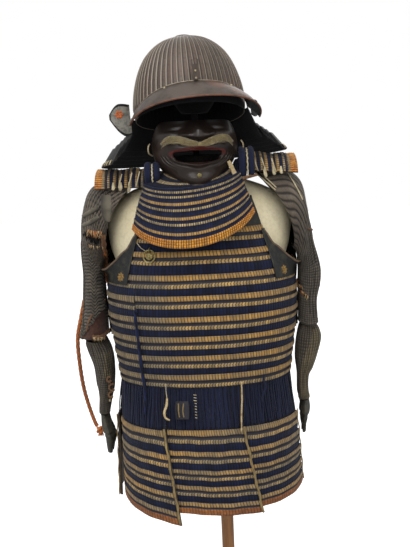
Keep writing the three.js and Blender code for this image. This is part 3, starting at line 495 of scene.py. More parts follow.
for number, head in enumerate(bodyHeads):
    last = number == len(bodyHeads) - 1
    pitch = head - (932 if last else bodyHeads[number + 1])
    opening = 0.3 if number else 0.12

    def surfaceAt(share, down, out, head=head, opening=opening, number=number):
        degrees = degreesBetween(seamDegrees + opening, seamDegrees + 360 - opening, share)
        sway = 0.7 * np.sin(degrees * 0.05 + number * 2.1) + 0.4 * np.sin(degrees * 0.13 + number)
        dip = (0.0 if number < 1 else 2.4) * np.exp(-((1 - share) / 0.02))
        points = trunk(degrees, head - down, out)
        points[:, 2] += (sway - dip) * np.clip(down / 4, 0, 1)
        return points + [figureShift, 0, 0]

    wall = lacedWall(f"lacedLame{number + 1}", 184, lameLevels(pitch, 6.0 if not last else 0.0), surfaceAt,
                     laceMaterials, 10 + number, bodyTone)
    linkPiece(wall, "lacing", f"body_lame_{number + 1}")

upperLames = [
    {"name": "chest", "heads": [1270, 1224], "middle": 0.0, "below": 1174, "grains": 43},
    {"name": "back", "heads": [1292, 1252, 1213], "middle": 180.0, "below": 1174, "grains": 43},
]
for part in upperLames:
    for number, head in enumerate(part["heads"]):
        below = (part["heads"] + [part["below"]])[number + 1]

        def surfaceAt(share, down, out, head=head, part=part, number=number):
            degrees = degreesBetween(part["middle"] - 50, part["middle"] + 50, share)
            points = trunk(degrees, head - down, out)
            points[:, 2] += 0.5 * np.sin(degrees * 0.11 + number) * np.clip(down / 4, 0, 1)
            return points + [figureShift, 0, 0]

        def chestTone(share, down, points):
            return 0.05 + 0.15 * np.sin(points[:, 0] * 0.05) + 0.4 * np.clip((-points[:, 0] - 130) / 40, 0, 1)

        wall = lacedWall(f"{part['name']}Laced{number + 1}", part["grains"], lameLevels(head - below), surfaceAt,
                         laceMaterials, 30 + number, chestTone)
        linkPiece(wall, "lacing", f"{part['name']}_lame_{number + 1}")

print("stage: throat guard")
throat = {"middle": -12.0, "end": 70.0, "sag": 19.0, "gather": 0.26, "lean": 5.5}
throatTable = np.array([
    [1237, 138, 76, -98], [1268, 132, 67, -95], [1300, 125, 58, -91], [1330, 117, 50, -86], [1361, 108, 41, -79],
])


def throatSurface(share, z, out):
    degrees = throat["end"] * (2 * share - 1)
    width, depth, middleY = (np.interp(z, throatTable[:, 0], throatTable[:, k]) for k in (1, 2, 3))
    x, y = oval(degrees, width, depth, out, 2.0)
    towardsEnd = (1 - np.cos(np.radians(degrees))) / (1 - math.cos(math.radians(throat["end"])))
    rise = (throat["sag"] + throat["gather"] * (1360.2 - z)) * towardsEnd
    high = z + rise + x * math.tan(math.radians(throat["lean"]))
    return np.stack([x + throat["middle"] + figureShift, y + middleY, high], axis=-1)


dotted, hem = 2, 5
throatMaterials = [tanBraid, lameLacquer, dottedBraid, navyLacing, innerLacquer, hemBraid]


def beadRow(down, out, lay, band, bump=1.0, half=2.2):
    return [
        (down - half, out - 0.7, 0.1, 0.0, lay + 0.02, band),
        (down - half * 0.5, out, bump * 0.9, 0.0, lay + 0.25, band),
        (down, out + 0.1, bump * 1.1, 0.0, lay + 0.5, band),
        (down + half * 0.5, out, bump * 0.9, 0.0, lay + 0.75, band),
    ]


throatLevels = [(0.0, 0.6, 0.0, 0.0, 0, navy), (0.4, 2.6, 0.4, 0.0, 0.1, navy), (4.0, 2.6, 0.6, 0.0, 0.5, navy)]
throatLevels += beadRow(8.6, 2.7, 1, dotted) + [(11.0, 2.0, 0.1, 0.0, 2, navy), (15.5, 2.0, 0.7, 0.0, 2.3, navy)]
throatLevels += beadRow(19.0, 2.4, 3, dotted) + [(21.4, 1.8, 0.1, 0.0, 4, navy), (24.0, 1.6, 0.7, 0.0, 4.3, navy),
                                                 (29.5, 1.4, 0.3, 0.0, 4.9, navy)]
for number, (head, foot) in enumerate([(30.5, 60.5), (60.5, 92.5)]):
    lay = 5 + 5 * number
    throatLevels += [
        (head, 3.2, 0.3, 0.0, lay, tan), (head + 2.2, 3.4, 1.0, 0.03, lay + 0.4, tan),
        (head + 4.6, 3.4, 1.0, 0.1, lay + 0.8, tan), (head + 6.2, 2.4, 0.2, 0.12, lay + 1, navy),
        (head + 10.0, 2.4, 0.7, 0.0, lay + 1.4, navy),
    ]
    throatLevels += beadRow(head + 15.6, 2.5, lay + 2, dotted)
    throatLevels += [(head + 18.4, 1.9, 0.2, 0.0, lay + 3, navy), (head + 23.0, 1.7, 0.8, 0.0, lay + 3.4, navy),
                     (foot - 0.6, 1.3, 0.4, 0.0, lay + 3.9, navy)]
throatLevels += [
    (92.5, 3.2, 0.3, 0.0, 15, tan), (94.8, 3.4, 0.9, 0.03, 15.4, tan), (97.2, 3.2, 0.8, 0.08, 15.8, tan),
    (98.6, 2.2, 0.2, 0.1, 16, navy), (103.0, 2.1, 0.7, 0.0, 16.4, navy), (106.4, 1.8, 0.4, 0.0, 16.9, navy),
]
for number in range(3):
    throatLevels += beadRow(109.3 + 5.3 * number, 3.0, 17 + number, hem, 1.9, 2.6)
throatLevels += [(123.8, 2.2, 0.2, 0.0, 20, hem), (124.4, 0.4, 0.0, 0.0, 20.2, inner), (123.6, -1.6, 0.0, 0.0, 20.4, inner),
                 (60.0, -1.6, 0.0, 0.0, 20.6, inner), (1.5, -1.6, 0.0, 0.0, 20.8, inner)]


def throatTone(share, down, points):
    edge = np.clip(np.abs(2 * share - 1) * 3 - 2, 0, 1)
    return 0.15 + 0.5 * edge + 0.3 * np.clip((-points[:, 0] - 60) / 80, 0, 1) + 0.15 * np.sin(share * 19 + down * 0.2)


wall = lacedWall("lacedThroatGuard", 62, throatLevels, lambda share, down, out: throatSurface(share, 1360.4 - down, out),
                 throatMaterials, 50, throatTone)
linkPiece(wall, "lacing", "throat_guard")

# ---- tubes, straps and threads


def smoothPath(points, count):
    points = np.asarray(points, dtype=float)
    padded = np.vstack([2 * points[0] - points[1], points, 2 * points[-1] - points[-2]])
    at = np.linspace(0, len(points) - 1, count)
    start = np.minimum(at.astype(int), len(points) - 2)
    t = (at - start)[:, None]
    a, b, c, d = (padded[start + k] for k in range(4))
    return 0.5 * (2 * b + (c - a) * t + (2 * a - 5 * b + 4 * c - d) * t**2 + (3 * b - a - 3 * c + d) * t**3)


def unit(vectors):
    return vectors / np.maximum(np.linalg.norm(vectors, axis=-1, keepdims=True), 1e-9)


def fill(value, count):
    return np.full(count, value) if np.isscalar(value) else np.interp(
        np.linspace(0, 1, count), np.linspace(0, 1, len(value)), value)


# Adds a tube along points in millimetres. Its width lies across "outward" and its thickness along it.
def addTube(bm, points, width, thickness=None, sides=6, outward=(0.2, -1.0, 0.1), lay=0.5, band=0, turns=0.0):
    points = np.asarray(points, dtype=float)
    count = len(points)
    tangent = unit(np.gradient(points, axis=0))
    hint = np.broadcast_to(np.asarray(outward, dtype=float), points.shape)
    side = unit(np.cross(tangent, hint))
    up = np.cross(side, tangent)
    halfWidth = fill(width, count) / 2
    halfThick = halfWidth if thickness is None else fill(thickness, count) / 2
    layer = bm.loops.layers.uv.get("lay") or bm.loops.layers.uv.new("lay")
    made = bmesh.ops.create_grid(bm, x_segments=sides, y_segments=count - 1, size=1.0)["verts"]
    places = {}
    for vert in made:
        i = round((vert.co.x + 1) / 2 * sides)
        j = round((vert.co.y + 1) / 2 * (count - 1))
        angle = 2 * math.pi * (i / sides + turns * j / (count - 1))
        spot = points[j] + side[j] * math.cos(angle) * halfWidth[j] + up[j] * math.sin(angle) * halfThick[j]
        places[vert] = (i / sides, j / (count - 1))
        vert.co = Vector(spot * mm)
    for face in {face for vert in made for face in vert.link_faces}:
        face.material_index = band
        for loop in face.loops:
            loop[layer].uv = (lay if lay is not None else places[loop.vert][0], places[loop.vert][1])
    return made


def closeTubes(bm):
    bmesh.ops.remove_doubles(bm, verts=bm.verts, dist=0.00002)
    bmesh.ops.holes_fill(bm, edges=[edge for edge in bm.edges if edge.is_boundary], sides=0)


def tubePiece(name, tubes, materials, slotName, *nodes, body="armour", smooth=180):
    bm = bmesh.new()
    for tube in tubes:
        addTube(bm, **tube)
    closeTubes(bm)
    return linkPiece(meshFrom(bm, name, materials), slotName, *nodes, body=body, smooth=smooth)


def smoothTable(value, table, column):
    keys = np.array([row[0] for row in table], dtype=float)
    rows = np.array([row[column] for row in table], dtype=float)
    slopes = np.gradient(rows, keys)
    upper = np.clip(np.searchsorted(keys, value), 1, len(keys) - 1)
    span = keys[upper] - keys[upper - 1]
    t = np.clip((value - keys[upper - 1]) / span, 0, 1)
    a, b = rows[upper - 1], rows[upper]
    m, n = slopes[upper - 1] * span, slopes[upper] * span
    return (2 * t**3 - 3 * t**2 + 1) * a + (t**3 - 2 * t**2 + t) * m + (3 * t**2 - 2 * t**3) * b + (t**3 - t**2) * n


print("stage: skirt")
skirt = {"count": 7, "start": -0.0774, "heads": [834, 790, 751, 718, 684], "hem": 658, "laceTop": 921, "grains": 31}
panelNames = ["front", "front_left", "back_left", "back_middle_left", "back_middle_right", "back_right",
              "front_right"]
cornerDrops = {"front_right": 24.0, "front": 8.0}
roundLength = np.interp(360, ringDegrees, ringLength)
hemKnots = 5
skirtMaterials = [tanBraid, lameLacquer, thinBraid, navyLacing, innerLacquer, rustHem]

panelLevels = []
for row, head in enumerate(skirt["heads"][:-1]):
    offset, pitch = skirt["heads"][0] - head, head - skirt["heads"][row + 1]
    scale = pitch / 44
    rows = lameLevels(44, 0.0, 0.9, 0, back=False)[0 if row == 0 else 1 :]
    panelLevels += [(offset + down * scale, out, bump * 0.9, lean, lay + 5 * row, band)
                    for down, out, bump, lean, lay, band in rows]
lastHead = skirt["heads"][0] - skirt["heads"][-1]
panelLevels += [(lastHead + down, out, bump, lean, lay + 20, band) for down, out, bump, lean, lay, band in (
    (0.3, 3.4, 0.2, 0.0, 0.04, tan), (2.5, 4.0, 0.7, 0.02, 0.3, tan), (6.5, 4.0, 1.0, 0.1, 0.75, tan),
    (8.6, 3.2, 0.4, 0.14, 1, dark), (9.4, 2.5, 0.0, 0.1, 1.1, dark), (12.4, 2.4, 0.0, 0.0, 1.9, dark),
    (13.2, 3.0, 0.3, 0.0, 2, hemKnots), (15.4, 3.4, 1.1, 0.05, 2.3, hemKnots), (17.6, 2.8, 0.2, 0.05, 2.97, hemKnots),
    (19.8, 3.4, 1.1, 0.05, 3.4, hemKnots), (22.0, 2.8, 0.2, 0.05, 3.97, hemKnots), (24.0, 3.2, 0.9, 0.0, 4.4, hemKnots),
    (26.0, 1.8, 0.2, 0.0, 4.9, hemKnots), (26.0, -2.0, 0.0, 0.0, 5, inner), (60.0 - lastHead, -2.0, 0.0, 0.0, 6, inner),
    (1.0 - lastHead, -1.6, 0.0, 0.0, 7, inner),
)]


def panelPoint(number, name, share, z, out):
    start = skirt["start"] + number / skirt["count"] + 0.0008
    end = skirt["start"] + (number + 1) / skirt["count"] - 0.0008
    down = np.clip((skirt["laceTop"] - z) / (skirt["laceTop"] - skirt["hem"]), 0, 1)
    lower = np.clip((skirt["heads"][0] - z) / (skirt["heads"][0] - skirt["hem"]), 0, 1)
    around = start + (end + 0.026 * lower - start) * share
    lift = 0.5 + share * (9 * np.minimum(1, down * 3) + 7 * lower)
    points = trunk(np.interp(around * roundLength, ringLength, ringDegrees), z, out + lift)
    points[..., 2] -= cornerDrops.get(name, 0.0) * share * lower
    return points + [figureShift, 0, 0]


def skirtTone(share, down, points):
    return 0.62 + 0.25 * np.sin(points[:, 0] * 0.03 + down * 0.04) + 0.2 * np.sin(down * 0.11 + points[:, 0] * 0.013)


laceChance = np.random.default_rng(71)
laces = {"perPanel": 33, "width": 5.4, "thickness": 1.7}
for number, name in enumerate(panelNames):
    def surfaceAt(share, down, out, number=number, name=name):
        z = skirt["heads"][0] - down
        uneven = 0.8 * np.sin(share * 9 + number * 2.3) + 0.5 * np.sin(share * 23 + down * 0.05)
        ragged = np.where(share > 0.985, 1.1 * np.sin(down * 0.55 + number), 0.0)
        points = panelPoint(number, name, share, z, out + 0.6 * np.sin(share * 12 + number) * np.clip(down / 60, 0, 1))
        points[:, 2] += uneven * np.clip(down / 6, 0, 1)
        points[:, 0] += ragged * 0.3
        return points

    wall = lacedWall(f"laced_{name}_panel", skirt["grains"], panelLevels, surfaceAt, skirtMaterials, 60 + number,
                     skirtTone, rough=0.5)
    linkPiece(wall, "lacing", f"skirt_panel_{name}")
    strands = []
    for strand in range(laces["perPanel"] - 1):
        share = np.full(9, (strand + 1.0) / laces["perPanel"])
        if name == "back_right" and 0.66 < share[0] < 0.93:
            continue
        path = panelPoint(number, name, share, np.linspace(930, 832, 9), np.full(9, -1.2))
        outward = path - [figureShift, 0, 0]
        outward[:, 2] = 0
        strands.append({"points": path, "width": laces["width"] * 1.25, "thickness": 1.4, "outward": unit(outward),
                        "lay": strand + 0.5, "band": 1})
    for strand in range(laces["perPanel"]):
        share = (strand + 0.5 + 0.5 * (laceChance.random() - 0.5)) / laces["perPanel"]
        broken = name == "back_right" and (0.7 < share < 0.9)
        if broken and strand % 2:
            continue
        bottom = 834 - 3 if not broken else 862 + 30 * laceChance.random()
        heights = np.linspace(930, bottom, 9)
        sway = (laceChance.random() - 0.5) * 0.035
        wander = sway * np.sin(np.linspace(0, math.pi * (1 + laceChance.random()), 9))
        lean = -0.05 * np.linspace(0, 1, 9) if broken else 0.0
        bulge = 1.0 + 1.5 * laceChance.random() * np.sin(np.linspace(0, math.pi, 9))
        path = panelPoint(number, name, np.clip(share + wander + lean, 0, 1), heights, bulge)
        outward = path - [figureShift, 0, 0]
        outward[:, 2] = 0
        strands.append({"points": path, "width": laces["width"] * (0.8 + 0.3 * laceChance.random()),
                        "thickness": laces["thickness"], "outward": unit(outward), "lay": strand + 0.5})
    tubePiece(f"long_laces_{name}", strands, [navyLacing, shadowLacing], "lacing")
    heights = np.linspace(838, skirt["hem"] + 1, 30)
    edge = panelPoint(number, name, np.full(30, 0.992), heights, np.full(30, 4.6))
    edge[:, 0] += 0.9 * np.sin(np.arange(30) * 0.9 + number)
    outward = edge - [figureShift, 0, 0]
    outward[:, 2] = 0
    tubePiece(f"edge_binding_{name}",
              [{"points": edge, "width": 5.6 + 1.2 * np.sin(np.arange(30) * 1.7), "thickness": 2.6, "sides": 8,
                "outward": unit(outward)}], [bindingLeather], "leather")

print("stage: plates and straps of the cuirass")
armEdge = 50.0
topPlates = [
    {"name": "chest_plate", "middle": 0.0, "top": 1334.0, "hollow": 44.0, "foot": 1264.0},
    {"name": "back_plate", "middle": 180.0, "top": 1338.0, "hollow": 8.0, "foot": 1286.0},
]
for plate in topPlates:
    profile = np.array([(0, 0.2), (0.1, 1.6), (0.5, 2.4), (0.93, 2.4), (0.95, 3.6), (1, 3.6), (1, -1.2), (0.5, -0.8), (0, -2.6)])

    def placeAt(column, row, plate=plate, profile=profile):
        degrees = -armEdge + column / 40 * 2 * armEdge
        dip = plate["hollow"] * np.cos(np.radians(degrees / armEdge * 90)).clip(0, 1) ** 0.8
        level = profile[row % len(profile)]
        z = plate["foot"] + level[:, 0] * (plate["top"] - dip - plate["foot"])
        return trunk(plate["middle"] + degrees, z, level[:, 1]) + [figureShift, 0, 0]

    linkPiece(gridMesh(f"leather_{plate['name']}", 40, len(profile), placeAt, [darkLeather], caps=True), "leather",
              plate["name"], smooth=50)

armhole = np.array([
    [47, 1262, 0], [50, 1254, 0], [54, 1230, 0], [58, 1221, 2], [64, 1200, 8], [71, 1183, 15], [77, 1180, 18],
    [84, 1178, 7], [98, 1180, 6], [112, 1196, 8], [124, 1232, 2], [134, 1262, 0],
])
sidePlate = {"out": 4.7, "bottom": 1152.0, "from": 47.0, "to": 134.0}
for side, mirror in (("right", -1), ("left", 1)):
    profile = np.array([(0, 0.6), (0, 2.6), (0.04, 3.2), (0.3, 3.0), (0.62, 3.0), (0.8, 3.2), (0.93, 3.4), (0.97, 4.4),
                        (1.0, 4.4), (1.0, 1.6), (0.9, 0.2), (0.62, 0.0), (0.3, 0.0)])

    def placeAt(column, row, mirror=mirror, profile=profile):
        degrees = sidePlate["from"] + column / 72 * (sidePlate["to"] - sidePlate["from"])
        top = smoothTable(degrees, armhole, 1)
        rim = smoothTable(degrees, armhole, 2)
        level = profile[row % len(profile)]
        z = sidePlate["bottom"] + level[:, 0] * (top - sidePlate["bottom"])
        turned = rim * np.clip((z - (top - 18)) / 18, 0, 1) ** 1.4
        uneven = 0.5 * np.sin(degrees * 0.4) * np.sin(z * 0.06)
        return trunk(mirror * degrees, z, sidePlate["out"] + level[:, 1] + turned + uneven) + [figureShift, 0, 0]

    linkPiece(gridMesh(f"leather_side_plate_{side}", 72, len(profile), placeAt, [plateLeather], caps=True), "leather",
              f"side_plate_{side}", smooth=50)
    path = smoothPath([[mirror * x + figureShift, y, z] for x, y, z in (
        (92, -105, 1306), (90, -93, 1335), (88, -74, 1356), (86, -40, 1381), (86, 0, 1390), (86, 40, 1380),
        (88, 74, 1357), (90, 100, 1330), (92, 114, 1306))], 36)
    across = np.cross(np.gradient(path, axis=0), [1.0, 0.0, 0.0])
    tubePiece(f"padded_shoulder_strap_{side}", [{"points": path, "width": 30.0, "thickness": 5.0, "sides": 12,
                                                 "outward": unit(-across)}], [darkLeather], "leather",
              f"shoulder_strap_{side}")

print("stage: cloth, wood and hair materials")


# ribbed mail cloth: the "lay" counts the ribs across, and the stitches along them
def mailCloth(name, ridge, body, groove, stitch, stitchShare=0.35, bump=0.8):
    made, tree, shader = material(name, 0.82, sheen=0.1)
    row = effect(tree, grains, Gap=0.34)
    worn = effect(tree, patches, Scale=34.0, Low=0.42, High=0.68)["Mask"]
    dark = effect(tree, patches, Scale=13.0, Low=0.5, High=0.66)["Mask"]
    color = mixed(tree, worn, rgb(body), rgb(ridge))
    color = mixed(tree, maths(tree, "MULTIPLY", dark, 0.5), color, rgb(groove))
    color = mixed(tree, remap(tree, row["Random"], 0.0, 1.0, 0.0, 0.35), color, rgb(groove))
    dot = remap(tree, row["Down"], stitchShare, stitchShare + 0.12, 1.0, 0.0)
    dot = maths(tree, "MULTIPLY", dot, maths(tree, "SUBTRACT", 1.0, row["Gap"]))
    color = mixed(tree, maths(tree, "MULTIPLY", dot, 0.42), color, rgb(stitch))
    # painted shade: the grooves between ribs are mixed towards the dark groove colour as their shadow
    color = mixed(tree, maths(tree, "MULTIPLY", row["Gap"], 0.85), color, rgb(groove))
    grit = effect(tree, patches, Scale=900.0, Detail=3.0, Low=0.3, High=0.7)["Mask"]
    height = maths(tree, "MULTIPLY_ADD", row["Gap"], -1.0, maths(tree, "MULTIPLY", maths(tree, "ADD", dot, grit), 0.4))
    paint(tree, shader, color, height, bump, 0.0012)
    return made


mailShoulder = mailCloth("mailShoulder", "74685a", "564b40", "15110e", "8f8270", 0.5)
mailFront = mailCloth("mailFront", "6c6257", "4d453d", "131110", "958871", 0.3)
mailOuter = mailCloth("mailOuter", "665c50", "4a4138", "15110f", "83765e", 0.4)
mailPale = mailCloth("mailPale", "76694f", "5f543f", "2d261c", "8f8162", 0.5)
gussetLeather = speckled("gussetLeather", "44271e", "5a3728", 0.8, 150.0, 0.7, second="2a1813", bump=0.6, sheen=0.1)
sleeveStrap = mailCloth("sleeveStrap", "7a7262", "5f584b", "29251f", "8c8371", 0.5, 0.6)
tornCream = speckled("tornCream", "cbb68c", "a88a5a", 0.95, 240.0, 0.6, bump=0.7, second="8c6a3c")
tornOrange = speckled("tornOrange", "b9692f", "8a4a22", 0.9, 240.0, 0.6, bump=0.7, second="cf9250")
tornBrown = speckled("tornBrown", "6b4c36", "8d6c4c", 0.9, 200.0, 0.6, bump=0.7, second="3c2a20")
hollowDark = speckled("hollowDark", "0e0b0a", "1a1411", 0.95)
greyLeather = speckled("greyLeather", "3c3b33", "545143", 0.6, 70.0, 0.7, second="2a2a27", bump=0.5)

# painted shade: near-black material for the top of the form, so the neck seen through the mouth reads as the shade
# inside the mask
neckShadeDark = speckled("neckShadeDark", "15110f", "231c17", 0.95)

linen, tree, shader = material("linen", 0.95, sheen=0.2)
threads = effect(tree, weave, Threads=3300.0)["Height"]
broad = effect(tree, patches, Scale=7.0, Detail=4.0, Low=0.35, High=0.75)["Mask"]
mottled = effect(tree, patches, Scale=160.0, Detail=4.0, Low=0.4, High=0.7)["Mask"]
color = mixed(tree, broad, rgb("fff3d0"), rgb("efdfb4"))
color = mixed(tree, maths(tree, "MULTIPLY", mottled, 0.25), color, rgb("cdbb8e"))
color = mixed(tree, remap(tree, threads, 0.0, 0.5, 0.16, 0.0), color, rgb("a8966a"))
paint(tree, shader, color, threads, 0.35, 0.0006)


def wood(name, light, dark, roughness=0.45, rings=70.0):
    made, tree, shader = material(name, roughness, coat=0.15)
    grain = effect(tree, patches, Scale=rings, Detail=5.0, Low=0.3, High=0.72, Stretch=(1.0, 1.0, 0.06))["Mask"]
    pores = effect(tree, patches, Scale=900.0, Detail=2.0, Low=0.5, High=0.7, Stretch=(1.0, 1.0, 0.04))["Mask"]
    color = mixed(tree, grain, rgb(light), rgb(dark))
    color = mixed(tree, maths(tree, "MULTIPLY", pores, 0.4), color, rgb("3c2413"))
    paint(tree, shader, color, pores, 0.15, 0.0003)
    return made


poleWood = wood("poleWood", "b07c4c", "8a5c34")
baseWood = wood("baseWood", "a5744a", "7d5230", 0.5, 40.0)

print("stage: dress form and stand")


# a profile of (radius, height) in millimetres turned about an upright axis
def turnedPiece(name, profile, used, slotName, *nodes, steps=72, put=None, body="armour", smooth=38):
    bm = bmesh.new()
    verts = [bm.verts.new((radius * mm, 0, z * mm)) for radius, z in profile]
    for first, second in zip(verts, verts[1:]):
        bm.edges.new((first, second))
    bmesh.ops.spin(bm, geom=bm.verts[:] + bm.edges[:], cent=(0, 0, 0), axis=(0, 0, 1), angle=2 * math.pi,
                   steps=steps, use_merge=True)
    bmesh.ops.remove_doubles(bm, verts=bm.verts, dist=0.00001)
    bmesh.ops.dissolve_degenerate(bm, edges=bm.edges, dist=0.000005)
    if put is not None:
        bmesh.ops.transform(bm, matrix=put, verts=bm.verts)
    return linkPiece(meshFrom(bm, name, [used]), slotName, *nodes, body=body, smooth=smooth)


turnedPiece("turned_stand_base", [(0, 0), (192, 0), (197.5, 1.6), (200, 6), (200, 17), (198.4, 21.6), (193, 24), (150, 24.8),
            (60, 26.6), (46, 30), (35, 40), (28.5, 51), (26, 57), (22.5, 60), (0, 60)], baseWood, "wood", "stand_base")
turnedPiece("turned_stand_pole", [(0, 60.4), (13.6, 60.4), (14, 61), (14, 300), (15, 600), (16, 698), (15.4, 699), (0, 699)],
            poleWood, "wood", "stand_pole", steps=40)
figurePlace = Matrix.Translation((figureShift * mm, 0, 0))
turnedPiece("black_head_post", [(0, 1424.4), (7, 1424.4), (7, 1515.4), (6.4, 1516), (0, 1516)], blackPaint, "black_wood",
            "head_post", steps=28, put=figurePlace)
restProfile = smoothPath([(30, 1517), (46, 1540), (58, 1570), (64, 1610), (56, 1645), (34, 1666), (3, 1672.8)], 26)
turnedPiece("padded_helmet_rest", [(0, 1516.4), (29, 1516.4), *restProfile.tolist(), (0, 1673)], blackPaint, "black_wood",
            "helmet_rest", steps=56, put=figurePlace)

formTable = [
    (700, 150, 100), (712, 164, 108), (800, 174, 116), (900, 162, 108), (1000, 156, 104), (1110, 178, 112),
    (1180, 190, 114), (1240, 206, 102), (1290, 206, 89), (1325, 186, 76), (1350, 150, 62), (1372, 92, 45),
    (1386, 60, 47), (1424, 52, 48),
]
formSeams = [-90.0, 90.0, -38.0, 38.0, 142.0, -142.0, 180.0, -180.0]


def formPoint(column, row):
    degrees = column / 120 * 360 - 180
    z = 1424 - 724 * (row / 110) ** 1.0
    width, depth = smoothTable(z, formTable, 1), smoothTable(z, formTable, 2)
    groove = sum(np.exp(-(((degrees - seam) / 1.6) ** 2)) for seam in formSeams)
    waist = np.exp(-(((z - 1012) / 2.5) ** 2)) + np.exp(-(((z - 1330) / 2.5) ** 2)) * (np.abs(degrees) < 120)
    dimple = 0.35 * np.sin(degrees * 0.31 + z * 0.02) * np.sin(z * 0.05)
    x, y = oval(degrees, width, depth, -1.0 * groove - 0.8 * waist + dimple, 2.2)
    return np.stack([x + figureShift, y, z], axis=-1)


# the top nine rows of the form, above about 1365 mm, take the near-black painted shade, the rest is linen
formPiece = linkPiece(gridMesh("linen_dress_form", 120, 110, formPoint, [neckShadeDark, linen],
                               bandAt=lambda column, row: np.where(row < 9, 0, 1), caps=True), "linen", "dress_form",
                      smooth=55)

print("stage: sleeves")
# rows of a sleeve, each a closed ring: inner x, inner z, outer x, outer z, half depth, bow
sleeveTables = {
    "right": {
        "mirror": -1,
        "upper": [(211, 1206, 128, 1378, 90, 24), (214, 1202, 172, 1382, 90, 14), (218, 1197, 216, 1374, 86, 6),
                  (221, 1190, 248, 1350, 80, 0), (222, 1182, 266, 1296, 72, 0), (222, 1175, 271, 1235, 66, 0),
                  (222, 1150, 270, 1162, 62, 0), (221, 1085, 276, 1085, 62, 0), (220, 1024, 288, 1020, 64, 0)],
        "forearm": [(226, 1012, 276, 1012, 46, 0), (214, 985, 270, 985, 45, 0), (212, 945, 259, 945, 43, 0),
                    (213, 905, 254, 905, 39, 0), (222, 870, 253, 870, 34, 0), (228, 836, 254, 836, 30, 0)],
        "hand": [(232, 834, 252, 834, 26, 0), (222, 800, 250, 800, 36, 0), (217, 776, 245, 776, 37, 0),
                 (226, 740, 240, 740, 24, 0)],
    },
    "left": {
        "mirror": 1,
        "upper": [(211, 1206, 124, 1384, 90, 24), (214, 1202, 168, 1392, 90, 14), (218, 1197, 206, 1382, 86, 6),
                  (221, 1190, 234, 1354, 80, 0), (222, 1182, 246, 1300, 72, 0), (222, 1175, 256, 1235, 66, 0),
                  (222, 1150, 273, 1152, 60, 0), (221, 1085, 264, 1085, 56, 0), (220, 1034, 264, 1032, 56, 0)],
        "forearm": [(224, 1030, 260, 1030, 46, 0), (214, 1000, 268, 1000, 48, 0), (210, 950, 256, 950, 45, 0),
                    (212, 910, 240, 910, 40, 0), (213, 870, 239, 870, 35, 0), (214, 852, 240, 852, 32, 0)],
        "hand": [(217, 850, 240, 850, 30, 0), (216, 825, 241, 825, 36, 0), (218, 798, 234, 798, 36, 0),
                 (220, 770, 230, 770, 24, 0)],
    },
}


def sleevePoint(side, part, level, degrees, out):
    sleeve = sleeveTables[side]
    table = [(number, *row) for number, row in enumerate(sleeve[part])]
    innerX, innerZ, outerX, outerZ, halfDepth, bow = (smoothTable(level, table, k) for k in range(1, 7))
    halfX, halfZ = (outerX - innerX) / 2, (outerZ - innerZ) / 2
    length = np.maximum(np.hypot(halfX, halfZ), 1)
    along = np.cos(np.radians(degrees))
    bend = bow * (1 - along**2) / length
    x = (innerX + outerX) / 2 + halfX * along * (1 + out / length) + halfZ * bend
    z = (innerZ + outerZ) / 2 + halfZ * along * (1 + out / length) - halfX * bend
    y = (halfDepth + out) * np.sin(np.radians(degrees))
    return np.stack([sleeve["mirror"] * x + figureShift, y, z], axis=-1)


# folds given one by one: each runs from (level, degrees) to (level, degrees), so deep and so wide in millimetres
def creased(level, degrees, creases):
    total = 0.0 * level
    for level0, degrees0, level1, degrees1, depth, width in creases:
        startX, startY, spanX, spanY = level0 * 52, degrees0, (level1 - level0) * 52, degrees1 - degrees0
        x, y = level * 52 - startX, degrees - startY
        t = np.clip((x * spanX + y * spanY) / (spanX**2 + spanY**2), 0, 1)
        total = total + depth * np.exp(-(((x - t * spanX) ** 2 + (y - t * spanY) ** 2) / width**2))
    return total


def zigzag(value):
    return 2 * np.abs(value - np.floor(value + 0.5))


sleeveFolds = {
    "right": [
        (2.0, -60, 4.6, -30, -5, 9), (2.6, -105, 4.2, -70, 3, 12), (3.4, -20, 6.5, -8, -3, 8), (4.4, -40, 7.4, -34, 2.5, 8),
        (5.6, -8, 7.9, -14, -2.5, 7), (5.3, -150, 6.2, -120, -3, 9), (6.4, -60, 7.0, -160, 2.0, 8),
        (7.2, -40, 7.9, -150, 3.0, 12), (6.9, -20, 7.6, -60, -2.0, 8), (5.0, 40, 7.5, 60, -5, 12), (3.0, 60, 5.4, 100, 4, 14),
        (5.8, 110, 7.8, 80, -4, 12), (6.6, 20, 7.6, 60, 3, 12), (4.0, 150, 6.0, 130, -4, 12),
    ],
    "left": [
        (2.3, -95, 5.6, -62, -5, 9), (3.6, -52, 6.4, -44, 4, 9), (4.2, -36, 7.6, -30, -5, 8), (5.0, -84, 7.6, -70, -4, 7),
        (5.8, -60, 7.9, -55, 3, 7), (4.9, -110, 6.4, -100, 3, 9), (6.6, -20, 7.9, -12, -3, 7), (5.3, -20, 6.1, -20, -5, 10),
        (2.8, -30, 4.4, -16, -3, 9), (6.7, -96, 7.4, -92, -7, 6), (5.0, 50, 7.5, 40, -5, 12), (3.0, 70, 5.4, 90, 4, 14),
        (5.8, 120, 7.8, 90, -4, 12), (6.6, 30, 7.6, 60, 3, 12), (4.0, 150, 6.0, 130, -4, 12),
    ],
}
upperGrid = {"around": 128, "down": 270, "levels": 8.0}
shoulderZone, frontZone, outerZone, gussetZone, tearZone = range(5)
sleeveMaterials = [mailShoulder, mailFront, mailOuter, gussetLeather, hollowDark]


def upperZone(side, level, degrees, points):
    x, z = (points[..., 0] - figureShift) * sleeveTables[side]["mirror"], points[..., 2]
    front = (degrees > -172) & (degrees < -46)
    zone = np.where(level < (4.75 if side == "right" else 3.7), shoulderZone, np.where(front, frontZone, outerZone))
    if side == "right":
        ragged = 3.0 * np.sin(degrees * 0.35) + 2.0 * np.sin(degrees * 0.83)
        middle = 1252 + (x - 228) * 0.35 + ragged
        torn = front & (np.abs(z - middle) < 13 - np.abs(x - 230) * 0.42) & (degrees > -150)
        zone = np.where(torn, tearZone, zone)
        under = front & (z < 1106 - (x - 208) * 1.12 + 1.5 * np.sin(x * 0.5))
        zone = np.where(under, gussetZone, zone)
    return zone


